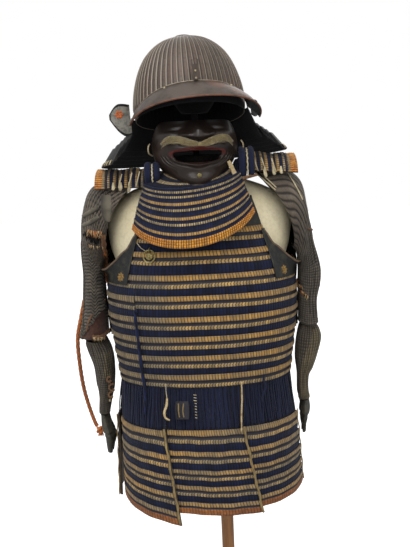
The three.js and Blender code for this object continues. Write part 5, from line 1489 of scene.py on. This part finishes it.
print("stage: shoulder wings")
wing = {"pitch": 24.4, "strips": 5, "halfDepth": 72.0, "droop": 36.0, "grains": 27}
wingHem = 5
wingMaterials = [tanBraid, lameLacquer, thinBraid, navyLacing, innerLacquer, hemBraid]
for side, mirror, start, crown, fall in (("right", -1, 104, 1396, 0), ("left", 1, 100, 1424, 10)):
    span = wing["strips"] * wing["pitch"]

    def wingPoint(share, outward, out, mirror=mirror, start=start, crown=crown, fall=fall):
        lean = (2 * share - 1) * math.pi / 2.3
        strip = np.floor(np.clip(outward / wing["pitch"], 0, wing["strips"] - 0.01))
        y = wing["halfDepth"] * (1 + 0.05 * np.sin(strip * 2.4 + mirror)) * np.sin(lean) / math.sin(math.pi / 2.3)
        top = crown - fall * outward / span - wing["droop"] * (1 - np.cos(lean)) * 1.25
        return np.stack([mirror * (start + outward) + figureShift, y + out * np.sin(lean * 0.9), top + out * np.cos(lean * 0.9)],
                        axis=-1)

    levels = []
    for strip in range(wing["strips"]):
        at = strip * wing["pitch"]
        last = strip == wing["strips"] - 1
        band = 5 * strip
        begun = len(levels)
        levels += [(at, 1.4, 0.0, 0.0, band, tan), (at + 0.3, 3.2, 0.2, 0.0, band + 0.04, tan), (at + 2.4, 3.6, 0.9, 0.03, band + 0.4, tan),
                   (at + 5.6, 3.4, 0.9, 0.1, band + 0.85, tan), (at + 7.0, 2.6, 0.3, 0.12, band + 1, navy),
                   (at + 10.0, 2.6, 0.8, 0.0, band + 1.5, navy), (at + 13.6, 2.2, 0.3, 0.0, band + 1.95, dark)]
        if last:
            del levels[-3:]
            levels += [(at + 7.6, 2.4, 0.4, 0.0, band + 1, wingHem), (at + 9.4, 2.8, 1.3, 0.0, band + 1.5, wingHem),
                       (at + 11.2, 2.2, 0.4, 0.0, band + 1.97, wingHem), (at + 13.2, 2.8, 1.3, 0.0, band + 1.5, wingHem)]
            levels += [(at + 15.0, 2.4, 0.8, 0.0, band + 2, wingHem), (at + 17.2, 2.6, 1.2, 0.05, band + 2.5, wingHem),
                       (at + 19.0, 1.8, 0.3, 0.05, band + 2.98, wingHem), (at + 21.0, 2.2, 1.2, 0.0, band + 3.5, wingHem),
                       (at + 23.0, 1.0, 0.5, 0.0, band + 3.97, wingHem)]
        else:
            levels += [(at + 15.2, 1.8, 0.2, 0.0, band + 2, thin), (at + 17.4, 2.0, 1.0, 0.1, band + 2.5, thin),
                       (at + 19.6, 1.6, 0.4, 0.05, band + 2.95, navy), (at + 23.6, 0.8, 0.2, 0.0, band + 3.6, navy)]
        shingle = [0.0, 4.5, 1.5, 5.5, 3.0][strip]
        levels[begun:] = [(down, out + shingle * (down - at) / wing["pitch"], bump, lean, lay, used)
                          for down, out, bump, lean, lay, used in levels[begun:]]
    levels += [(span - 1.2, -1.8, 0.0, 0.0, 30, inner), (span * 0.5, -1.8, 0.0, 0.0, 31, inner), (0.2, -1.8, 0.0, 0.0, 32, inner)]

    def wingTone(share, down, points):
        return 0.45 + 0.35 * np.sin(down * 0.07 + share * 5) + 0.2 * np.sin(share * 31)

    wall = lacedWall(f"laced_shoulder_wing_{side}", wing["grains"], levels,
                     lambda share, down, out, wingPoint=wingPoint: wingPoint(share, down, out + 0.6 * np.sin(share * 14 + down * 0.05)),
                     wingMaterials, 90 + (mirror > 0), wingTone, rough=0.6)
    linkPiece(wall, "lacing", f"shoulder_wing_{side}")

padSpine = smoothPath([(87, -84, 1367), (87, -76, 1374), (87, -62, 1386), (92, -32, 1402), (97, 0, 1407), (97, 34, 1399)], 60)
padSpine = padSpine + [figureShift, 0, 0]
padRolls = []
for offset, lift, width in ((-6.8, 0.0, 10.0), (0.4, 3.2, 11.0), (7.2, -0.5, 10.0)):
    path = padSpine + [offset, 0, lift]
    size = width * (1 + 0.08 * np.sin(np.arange(60) * 1.9 + offset))
    padRolls.append({"points": path, "width": size, "thickness": size * 0.95, "sides": 14, "outward": (1.0, 0.1, 0.2), "lay": None})
tubePiece("navy_shoulder_roll_left", padRolls, [navyLacing], "lacing", "shoulder_pad_left")

print("stage: chest ring")
ringSpot = trunk(np.array([-31.5]), np.array([1215.0]), 6.2)[0]
ringOut = trunk(np.array([-31.5]), np.array([1215.0]), 7.2)[0] - ringSpot
ringPlace = (
    Matrix.Translation(Vector(ringSpot + [figureShift, 0, 0]) * mm)
    @ Matrix.Rotation(math.atan2(ringOut[0], -ringOut[1]), 4, "Z")
    @ Matrix.Rotation(math.radians(-12), 4, "X")
)
turns = np.radians(np.linspace(0, 360, 57))
ringLoop = putBy(ringPlace, np.stack([13.5 * np.sin(turns), 0 * turns, 13.5 * np.cos(turns)], axis=-1))
ringAxis = np.array(ringPlace)[:3, 1]
bm = bmesh.new()
addTube(bm, ringLoop, 3.2, 3.2, sides=12, outward=ringAxis)
bmesh.ops.remove_doubles(bm, verts=bm.verts, dist=0.00005)
linkPiece(meshFrom(bm, "brass_chest_ring", [agedBrass]), "brass", "chest_ring", body="ring")
rosettePlace = ringPlace @ Matrix.Translation((0, 1.6 * mm, 0)) @ Matrix.Rotation(math.radians(90), 4, "X")
turnedPiece("brass_rosette", [(0, 0), (7.4, 0), (8, 0.5), (7.8, 1.2), (6.6, 2.2), (5.6, 2.2), (4.8, 2.8), (3.8, 3.2), (3.4, 4.4), (2.4, 5.3),
            (0, 5.6)], agedBrass, "brass", "chest_rosette", steps=40, put=rosettePlace)
bm = bmesh.new()
for petal in range(10):
    made = bmesh.ops.create_uvsphere(bm, u_segments=10, v_segments=6, radius=1.9 * mm)["verts"]
    bmesh.ops.scale(bm, vec=(1.3, 0.8, 0.5), verts=made)
    bmesh.ops.translate(bm, vec=(5.6 * mm, 0, 2.1 * mm), verts=made)
    bmesh.ops.rotate(bm, cent=(0, 0, 0), matrix=Matrix.Rotation(petal * math.pi / 5, 3, "Z"), verts=made)
bmesh.ops.transform(bm, matrix=rosettePlace, verts=bm.verts)
linkPiece(meshFrom(bm, "rosette_petals", [agedBrass]), "brass")
staple = smoothPath([(0, 2.2, 18.6), (0, -1.6, 17.4), (0, -3.4, 13.6), (0, -1.6, 9.9), (0, 1.4, 9.4)], 20)
tubePiece("brass_ring_staple", [{"points": putBy(ringPlace, staple), "width": 1.8, "sides": 8, "outward": (1, 0, 0)}], [agedBrass],
          "brass", "chest_staple")

print("stage: cords")
blueRoute = smoothPath([trunk(np.array([degrees]), np.array([z]), out)[0] + [figureShift, 0, 0] for degrees, z, out in (
    (-38.6, 1100.0, 7.4), (-39.2, 1084.0, 8.4), (-39.6, 1050.0, 7.6), (-39.8, 1010.0, 7.6), (-40.4, 960.0, 7.6), (-40.0, 925.0, 8.4),
    (-39.2, 895.0, 10.5), (-38.8, 866.0, 12.5))], 120)
knotted = 5.4 + 2.6 * np.abs(np.sin(np.linspace(0, 27, 120))) ** 2.2
knotted[-6:] = np.linspace(6.0, 2.4, 6)
blueCord = tubePiece("knotted_blue_cord", [{"points": blueRoute, "width": knotted, "sides": 12, "outward": (-0.6, -0.8, 0), "lay": None,
                                            "turns": 6.0}], [navyCord], "lacing", "blue_cord")


ropeOrange, tree, shader = material("ropeOrange", 0.85, sheen=0.2)
mapped = place(tree, "ShaderNodeUVMap", uv_map="lay").outputs["UV"]
threads = place(tree, "ShaderNodeTexNoise", {"Vector": mapped, "Scale": 2.2, "Detail": 4.0}).outputs["Fac"]
parts = place(tree, "ShaderNodeSeparateXYZ", {0: mapped}).outputs
groove = maths(tree, "ABSOLUTE", maths(tree, "SUBTRACT", maths(tree, "FRACT", parts["X"]), 0.5))
shade = remap(tree, groove, 0.32, 0.5, 0.0, 1.0)
color = mixed(tree, toneOf(tree), rgb("cd7838"), rgb("7c4524"))
color = mixed(tree, remap(tree, threads, 0.35, 0.65, 0.0, 0.6), color, rgb("a3592b"))
color = mixed(tree, maths(tree, "MULTIPLY", shade, 0.75), color, rgb("4a2513"))
paint(tree, shader, color, threads, 0.5, 0.0008)
orangeRoute = smoothPath([(x + figureShift, y, z) for x, y, z in (
    (-252, 68, 1168), (-262, 68, 1148), (-276, 62, 1112), (-292, 56, 1050), (-302, 50, 1000), (-300, 44, 940), (-294, 40, 885),
    (-283, 30, 842), (-270, 18, 806), (-264, 12, 796))], 241)
rope = {"radius": 4.9, "turns": 13.0, "around": 30, "strands": 3}
ropeTangent = unit(np.gradient(orangeRoute, axis=0))
ropeSide = unit(np.cross(ropeTangent, [0.0, 1.0, 0.0]))
ropeUp = np.cross(ropeSide, ropeTangent)


def ropePoint(column, row):
    angle = column / rope["around"] * 2 * math.pi
    twist = 2 * math.pi * rope["turns"] * row / 240
    lobes = 0.8 + 0.24 * np.abs(np.cos(rope["strands"] / 2 * (angle - twist)))
    thin = np.interp(row, [0, 120, 200, 240], [1.0, 1.0, 0.92, 0.95])
    radius = (rope["radius"] * lobes * thin)[:, None]
    return orangeRoute[row] + radius * (np.cos(angle)[:, None] * ropeSide[row] + np.sin(angle)[:, None] * ropeUp[row])


def ropeLay(column, row):
    turned = column / rope["around"] - rope["turns"] * row / 240
    return np.stack([rope["strands"] * turned, row / 6.0], axis=-1)


ropeMesh = gridMesh("twisted_orange_cord", rope["around"], 240, ropePoint, [ropeOrange], ropeLay,
                    lambda column, row, points: np.interp(row, [0, 60, 110, 150, 200, 240], [0.0, 0.1, 0.5, 0.75, 0.6, 0.1]), caps=True)
orangeCord = linkPiece(ropeMesh, "orange_cord", "orange_cord")
turns = np.linspace(0, 4 * math.pi, 90)
knotLoop = np.stack([(5.0 + 2.0 * np.cos(turns * 1.5)) * np.cos(turns), (5.0 + 2.0 * np.cos(turns * 1.5)) * np.sin(turns),
                     5.0 * np.sin(turns * 1.5)], axis=-1) * [0.95, 0.85, 1.0] + [-257.5 + figureShift, 7.0, 788.0]
tufts = [{"points": knotLoop, "width": 6.4, "sides": 10, "outward": (0.3, 0.3, 1.0)}]
tuftChance = np.random.default_rng(8)
for number in range(46):
    spread = (tuftChance.random(3) - 0.5) * [9, 8, 2]
    root = np.array([-256.0 + figureShift, 7.0, 784.0]) + spread * 0.5
    path = smoothPath([root, root + spread * 0.5 + [0.4, 0, -5], root + spread * 1.1 + [1.0, 0, -8 - 4 * tuftChance.random()]], 7)
    tufts.append({"points": path, "width": [1.6, 1.8, 0.6], "sides": 4})
bm = bmesh.new()
for tuft in tufts:
    addTube(bm, **tuft)
closeTubes(bm)
knotMesh = meshFrom(bm, "orange_cord_tuft", [ropeOrange])
knotPiece = linkPiece(knotMesh, "orange_cord", "orange_cord_knot")

print("stage: worn details")


# the point of a sleeve's front that lies at x and z of the armour, "out" from the cloth
def onSleeve(side, part, spots, out, last=8):
    levels, degrees = np.meshgrid(np.linspace(0, last, 121), np.linspace(-176, -4, 87), indexing="ij")
    surface = sleevePoint(side, part, levels.ravel(), degrees.ravel(), out)
    placed = []
    for x, z in spots:
        away = (surface[:, 0] - figureShift - x) ** 2 + (surface[:, 2] - z) ** 2
        placed.append(surface[np.argmin(away)])
    return np.array(placed)


# the point of the laced body's front at x and z of the armour, "out" from the lames
def onTrunk(spots, out):
    degrees = np.linspace(-88, 88, 353)
    placed = []
    for x, z in spots:
        surface = trunk(degrees, np.full(353, float(z)), out)
        placed.append(surface[np.argmin(np.abs(surface[:, 0] - x))] + [figureShift, 0, 0])
    return np.array(placed)


detailChance = np.random.default_rng(33)


# short torn threads that hang from points spread along a line
def frayed(name, line, count, length, used, slotName, width=1.3, lean=(0.0, -1.0, 0.0)):
    roots = smoothPath(line, 60)
    strands = []
    for number in range(count):
        root = roots[detailChance.integers(0, 60)]
        size = length * (0.5 + detailChance.random())
        stray = (detailChance.random(3) - 0.5) * [0.9, 0.5, 0.4]
        end = root + size * (np.array([lean[0], 0.15 * lean[1], -1.0]) + stray)
        middle = (root + end) / 2 + [0, -1.5, 0] + (detailChance.random(3) - 0.5) * 3
        strands.append({"points": smoothPath([root, middle, end], 7), "width": [width, width * 1.2, width * 0.4],
                        "sides": 4, "band": number % len(used)})
    return tubePiece(name, strands, used, slotName)


# right sleeve: quilted strap, two diagonal straps, torn edge, leather strip and hem
rightDetails = {"strap": [(-199, 1348), (-200, 1320), (-199, 1290)], "upperDiagonal": [(-257, 1301), (-238, 1311), (-218, 1322)],
                "lowerDiagonal": [(-258, 1280), (-238, 1291), (-217, 1301)],
                "tear": [(-246, 1273), (-230, 1272), (-213, 1270)], "tearFoot": [(-246, 1240), (-230, 1237), (-214, 1236)],
                "leather": [(-212, 1262), (-213, 1230), (-216, 1195), (-212, 1165), (-210, 1147)],
                "hem": [(-251, 1031), (-232, 1029), (-213, 1031)], "cuff": [(-266, 1044), (-252, 1074), (-222, 1106)]}
tubePiece("quilted_sleeve_strap", [
    {"points": smoothPath(onSleeve("right", "upper", rightDetails["strap"], 3.6), 20), "width": [20, 23, 23, 21, 12],
     "thickness": 5.0, "sides": 12, "lay": None}], [sleeveStrap], "mail_cloth")
tubePiece("diagonal_sleeve_straps", [
    {"points": smoothPath(onSleeve("right", "upper", rightDetails[part], 2.8), 16), "width": [9, 11, 11, 10],
     "thickness": 4.4, "sides": 10, "lay": None} for part in ("upperDiagonal", "lowerDiagonal")], [sleeveStrap], "mail_cloth")
frayed("torn_sleeve_threads", onSleeve("right", "upper", rightDetails["tear"], 2.6), 60, 11.0,
       [tornCream, tornOrange, tornBrown], "hair")
frayed("torn_sleeve_foot", onSleeve("right", "upper", rightDetails["tearFoot"], 2.4), 26, 5.0, [tornBrown, tornCream], "hair")
tubePiece("frayed_leather_strip", [
    {"points": smoothPath(onSleeve("right", "upper", rightDetails["leather"], 3.0), 34),
     "width": 11 + 2.6 * np.sin(np.arange(34) * 1.3), "thickness": 3.2, "sides": 10}], [tornBrown], "leather")
frayed("frayed_strip_threads", onSleeve("right", "upper", rightDetails["leather"], 4.4), 60, 8.0, [tornOrange, tornBrown], "hair")
tubePiece("sleeve_hem_band_right", [
    {"points": smoothPath(onSleeve("right", "upper", rightDetails["hem"], 1.6), 24), "width": 9 + 1.6 * np.sin(np.arange(24) * 2.1),
     "thickness": 3.2, "sides": 10},
    {"points": smoothPath(onSleeve("right", "upper", rightDetails["cuff"], 1.4), 24), "width": 4.4, "thickness": 3.4,
     "sides": 8}], [tornBrown], "leather")
frayed("sleeve_hem_threads_right", onSleeve("right", "upper", rightDetails["hem"], 2.0), 80, 7.0, [tornCream, tornBrown], "hair")

# left sleeve: two pale bound edges, frayed holes and the stub of a cord
leftDetails = {"bindings": [[(131, 1389), (150, 1370), (171, 1350)], [(128, 1383), (148, 1363), (168, 1344)]],
               "tears": [[(214, 1137), (219, 1128), (226, 1122)], [(224, 1114), (230, 1107), (238, 1100)]],
               "stub": [(238, 1256), (247, 1250), (256, 1246)], "seam": [(198, 1381), (214, 1352), (229, 1319)]}
tubePiece("bound_sleeve_edge", [
    {"points": smoothPath(onSleeve("left", "upper", line, 3.4), 20), "width": 2.6, "sides": 8}
    for line in leftDetails["bindings"] + [leftDetails["seam"]]], [creamThread], "hair")
for number, line in enumerate(leftDetails["tears"]):
    frayed(f"torn_sleeve_patch_{number + 1}", onSleeve("left", "upper", line, 2.6), 34, 8.0,
           [tornCream, tornOrange, hollowDark], "hair")
stubPath = smoothPath(onSleeve("left", "upper", leftDetails["stub"], 3.0), 12)
tubePiece("cut_cord_stub", [{"points": stubPath, "width": [3, 3.4, 3.6, 6.0, 4.0], "sides": 8}], [tornBrown], "hair")

# curled leather loops and a button on the right forearm
loopTurns = np.linspace(0, 2.4 * math.pi, 40)
loops = []
for x, z, radius, length in ((-223, 928, 4, 10), (-219, 910, 5, 16), (-222, 890, 4, 12)):
    spot = onSleeve("right", "forearm", [(x, z)], 3.0, 5)[0]
    path = np.stack([radius * np.cos(loopTurns), -2 - 0.5 * radius * np.sin(loopTurns * 0.5),
                     radius * 0.9 * np.sin(loopTurns) - length * loopTurns / 7.5], axis=-1)
    loops.append({"points": spot + path, "width": 4.6, "thickness": 2.4, "sides": 8})
tubePiece("curled_leather_loops", loops, [tornBrown], "leather")
buttonSpot = onSleeve("right", "forearm", [(-226, 868)], 1.0, 5)[0]
rivetPiece("brass_sleeve_button", [(buttonSpot, (0, -1, 0.1))], 4.2, rivetBright, "brass")

print("stage: shoulder rolls and ties")
# rolled navy padding that stands in front of each shoulder wing
rolls = {
    "left": {"spine": [(0, -90, 1375), (0, -95, 1392), (0, -94, 1412), (0, -82, 1428), (0, -62, 1436)],
             "parts": [(100, 17, 1.0), (118, 15, 1.0)], "cord": 109.5},
    "right": {"spine": [(0, -86, 1372), (0, -91, 1385), (0, -88, 1398), (0, -78, 1408), (0, -58, 1410)],
              "parts": [(-88, 17, 1.0), (-105, 18, 1.0)], "cord": -96.5},
}
for side, roll in rolls.items():
    spine = np.array(roll["spine"], dtype=float) + [figureShift, 0, 0]
    tubes = [{"points": smoothPath(spine + [x, 0, 0], 30), "width": [width * 0.8, width, width, width, width * 0.9],
              "thickness": [9, 12, 12, 12, 10], "sides": 14, "outward": (0.1, -1, 0.3), "lay": None}
             for x, width, _ in roll["parts"]]
    tubePiece(f"navy_strap_rolls_{side}", tubes, [navyLacing], "lacing")
    tubePiece(f"strap_roll_cord_{side}", [
        {"points": smoothPath(spine + [roll["cord"], -6.0, 0], 30) + 0.6 * np.sin(np.arange(30) * 1.3)[:, None] * [1, 0, 0],
         "width": 2.6 + 1.0 * np.abs(np.sin(np.arange(30) * 0.9)), "sides": 8}], [creamThread], "hair")
tubePiece("bronze_tie_bar", [
    {"points": smoothPath(np.array([(84, -98, 1368), (100, -99, 1373), (130, -92, 1379)]) + [figureShift, 0, 0], 20),
     "width": [3, 6, 8, 7, 6], "thickness": 3.6, "sides": 10}], [tornBrown], "leather")
tubePiece("pale_leather_tie", [
    {"points": smoothPath(np.array([(69, -94, 1411), (75, -97, 1398), (80, -99, 1386), (90, -100, 1367)]) + [figureShift, 0, 0], 20),
     "width": [8, 10, 9, 11, 12], "thickness": 2.4, "sides": 10}], [tornCream], "leather")

# pale leather tabs and ties under each wing
for side, mirror, low in (("right", -1, 1352.0), ("left", 1, 1372.0)):
    tabs = []
    for number, x in enumerate((148, 167, 183)):
        top = np.array([mirror * x + figureShift, -74.0 - number, low + 22])
        tabs.append({"points": smoothPath([top, top + [0, -6, -12], top + [mirror * 3.0, -4, -22 + 5 * number]], 10),
                     "width": [4, 7, 8, 5], "thickness": 2.2, "sides": 8})
    for number, x in enumerate((124, 141, 163)):
        top = np.array([mirror * x + figureShift, -78.0, low + 44 - 2 * number])
        tabs.append({"points": smoothPath([top, top + [mirror * 4.0, -5, -14], top + [mirror * 9.0, -3, -30]], 10), "width": 2.6,
                     "thickness": 1.8, "sides": 6})
    tubePiece(f"pale_wing_ties_{side}", tabs, [creamThread], "hair")

# painted shadow: the pieces below are near-black sheets and strips put where shade falls behind the throat guard and
# beside the sleeves
print("stage: lining behind the throat guard and beside the sleeves")


liningLay = {"columns": 248, "rows": 12, "dotted": (3, 4, 8, 9)}


# a sheet from the chin down to the throat guard: its near-black colour is painted shadow under the mask, its two dotted
# rows are real
def throatLiningInShadow(column, row):
    share = column / liningLay["columns"]
    degrees = throat["end"] * (2 * share - 1)
    low = throatSurface(share, 1359.0, -1.2)
    around = np.radians(degrees * 1.25)
    high = putBy(maskPlace, np.stack([52 * np.sin(around), -38 - 62 * np.cos(around), 1374 + 22 * (1 - np.cos(around))], axis=-1))
    at = (row / liningLay["rows"])[:, None]
    bead = np.isin(row, (4, 9)) * np.abs(np.sin(np.pi * column / 4)) * 1.6
    return low * (1 - at) + high * at + np.array([0, 0, 1.0]) * (4 * np.sin(np.pi * at) + bead[:, None])


lining = linkPiece(
    gridMesh("navy_throat_lining_in_shadow", liningLay["columns"], liningLay["rows"], throatLiningInShadow, [shadowLacing, dottedBraid],
             lambda column, row: np.stack([column / 4, 1 + row / 12], axis=-1), lambda column, row, points: 0.2 + 0 * column,
             lambda column, row: np.where(np.isin(row, liningLay["dotted"]), 1, 0)), "lacing")
shell = lining.modifiers.new("liningThickness", "SOLIDIFY")
shell.thickness = 0.0015

# painted shadow: near-black strips filling the gaps between each sleeve and the body
for side, mirror in (("right", -1), ("left", 1)):
    strips = []
    for number, (x, y) in enumerate(((200, 52), (207, 60), (213, 44), (219, 64))):
        line = np.array([(mirror * x + figureShift, y + 6 * math.sin(k * 1.9 + number), 1262 - 50 * k) for k in range(6)])
        strips.append({"points": smoothPath(line, 24), "width": 15 + 3 * np.sin(np.arange(24) * 0.8), "thickness": 2.2, "sides": 8})
    tubePiece(f"dark_side_shadow_strips_{side}", strips, [hollowDark], "leather")

print("stage: plates, motifs and skirt details")
gilt = speckled("gilt", "a5834a", "6d5630", 0.5, 200.0, 0.7, second="3a3020", metallic=0.3)
rimLeather = speckled("rimLeather", "77624d", "594839", 0.6, 160.0, 0.6, bump=0.5)
for side, mirror in (("right", -1), ("left", 1)):
    degrees = np.linspace(48, 132, 60)
    top, rim = smoothTable(degrees, armhole, 1), smoothTable(degrees, armhole, 2)
    path = trunk(mirror * degrees, top - 0.5, sidePlate["out"] + 3.2 + rim) + [figureShift, 0, 0]
    tubePiece(f"side_plate_rim_{side}", [{"points": path, "width": 4.2, "thickness": 4.2, "sides": 8}], [rimLeather], "leather")
    bm = bmesh.new()
    middle = -54.5 if side == "right" else 57.5
    for number in range(9):
        turned = number * 2 * math.pi / 8
        size = 3.4 if number < 8 else 3.0
        spread = 8.5 if number < 8 else 0.0
        around, high = middle + spread / 3.4 * math.cos(turned), 1168 + spread * 0.75 * math.sin(turned)
        spot = trunk(np.array([around]), np.array([high]), sidePlate["out"] + 3.2)[0] + [figureShift, 0, 0]
        beyond = trunk(np.array([around]), np.array([high]), sidePlate["out"] + 6.0)[0] + [figureShift, 0, 0]
        made = bmesh.ops.create_uvsphere(bm, u_segments=12, v_segments=6, radius=size * mm)["verts"]
        bmesh.ops.scale(bm, vec=(1.35, 0.8, 0.3), verts=made)
        turn = Vector(beyond - spot).to_track_quat("Z", "Y").to_matrix().to_4x4() @ Matrix.Rotation(turned, 4, "Z")
        bmesh.ops.transform(bm, matrix=Matrix.Translation(Vector(spot) * mm) @ turn, verts=made)
    linkPiece(meshFrom(bm, f"gilt_blossom_{side}", [gilt]), "brass")
    edge = trunk(np.full(24, mirror * 49.0), np.linspace(1178, 1262, 24), 4.6) + [figureShift, 0, 0]
    outward = unit((edge - [figureShift, 0, 0]) * [1, 1, 0])
    tubePiece(f"dark_edge_strip_{side}", [{"points": edge, "width": 15, "thickness": 3.0, "sides": 10, "outward": outward}],
              [greyLeather], "leather")

laceOut = 20.0
tubePiece("pale_tie_strips", [
    {"points": smoothPath(onTrunk([(-86, 906), (-88, 890), (-94, 875), (-91, 864), (-82, 860)], laceOut), 24), "width": [5, 6, 6, 5, 4],
     "thickness": 2.0, "sides": 8, "outward": (-0.4, -1, 0)},
    {"points": smoothPath(onTrunk([(77, 937), (76, 900), (74, 865), (73, 830)], laceOut + 2), 24), "width": [3, 4, 4, 3],
     "thickness": 1.8, "sides": 8, "outward": (0.3, -1, 0)}], [tornCream], "leather")
tubePiece("pale_threads_front", [
    {"points": smoothPath(onTrunk([(-87, 938), (-88, 922), (-86, 907)], laceOut + 1), 12), "width": 1.8, "sides": 6}],
    [creamThread], "hair")
tubePiece("loose_lame_fragment", [
    {"points": smoothPath(onTrunk([(-54, height) for height in (900, 890, 872, 862)], laceOut), 20), "width": [30, 34, 33, 31],
     "thickness": 3.4, "sides": 12, "outward": (-0.3, -1, 0)}] + [
    {"points": smoothPath(onTrunk([(x, 896), (x - 1, 880), (x, 867)], laceOut + 1.4), 12), "width": 3.2, "thickness": 2.6, "sides": 8,
     "outward": (-0.3, -1, 0), "band": number % 2} for number, x in enumerate((-66, -61, -56, -51, -46, -41))],
    [lameLacquer, bindingLeather], "lacing")
tubePiece("white_stitch_chain", [
    {"points": smoothPath(onTrunk([(-27.5, height), (-21.5, height - 1)], laceOut + 1), 5), "width": 1.8, "sides": 5}
    for height in np.linspace(914, 866, 9)], [creamThread], "hair")
tubePiece("bent_long_lace", [
    {"points": smoothPath(onTrunk([(128, 945), (127, 930), (131, 916), (124, 902), (120, 886)], laceOut - 2), 24), "width": 5.0,
     "thickness": 2.2, "sides": 8, "outward": (0.6, -1, 0)}], [navyLacing], "lacing")
frayed("ragged_skirt_tufts", np.array([(-179 + figureShift, -62, 822), (-184 + figureShift, -60, 760), (-187 + figureShift, -60, 700)]),
       40, 10.0, [navyCord, shadowLacing], "lacing", 2.0, (-0.5, -0.4, 0.0))
threadPath = onTrunk([(-118, 1226), (-128, 1233), (-137, 1243)], 7.0)
tubePiece("ring_thread", [{"points": smoothPath(threadPath, 12), "width": 1.7, "sides": 6}], [creamThread], "hair")

print("stage: floor and backdrop")
floorMaterial, tree, shader = material("palePaper", 0.9)
shader.inputs["Base Color"].default_value = (0.42, 0.42, 0.42, 1)
shader.inputs["Emission Color"].default_value = (1, 1, 1, 1)
seen = place(tree, "ShaderNodeLightPath").outputs["Is Camera Ray"]
tree.links.new(maths(tree, "MULTIPLY", seen, 0.95), shader.inputs["Emission Strength"])
bm = bmesh.new()
bmesh.ops.create_grid(bm, x_segments=1, y_segments=1, size=14.0)
floor = bpy.data.objects.new("studioFloor", meshFrom(bm, "studioFloor", [floorMaterial]))
bpy.context.scene.collection.objects.link(floor)
world = bpy.data.worlds.new("studioWorld")
world.use_nodes = True
bpy.context.scene.world = world
tree = world.node_tree
direction = place(tree, "ShaderNodeTexCoord").outputs["Generated"]
height = place(tree, "ShaderNodeSeparateXYZ", {0: direction}).outputs["Z"]
glow = tree.nodes["Background"]
tree.links.new(remap(tree, height, -0.3, 1.0, 0.27, 1.0), glow.inputs["Strength"])
glow.inputs["Color"].default_value = (1, 1, 1, 1)
plain = place(tree, "ShaderNodeBackground", {"Color": (1, 1, 1, 1), "Strength": 1.0})
seen = place(tree, "ShaderNodeLightPath").outputs["Is Camera Ray"]
chosen = place(tree, "ShaderNodeMixShader", {0: seen, 1: glow.outputs[0], 2: plain.outputs[0]})
tree.links.new(chosen.outputs[0], tree.nodes["World Output"].inputs["Surface"])
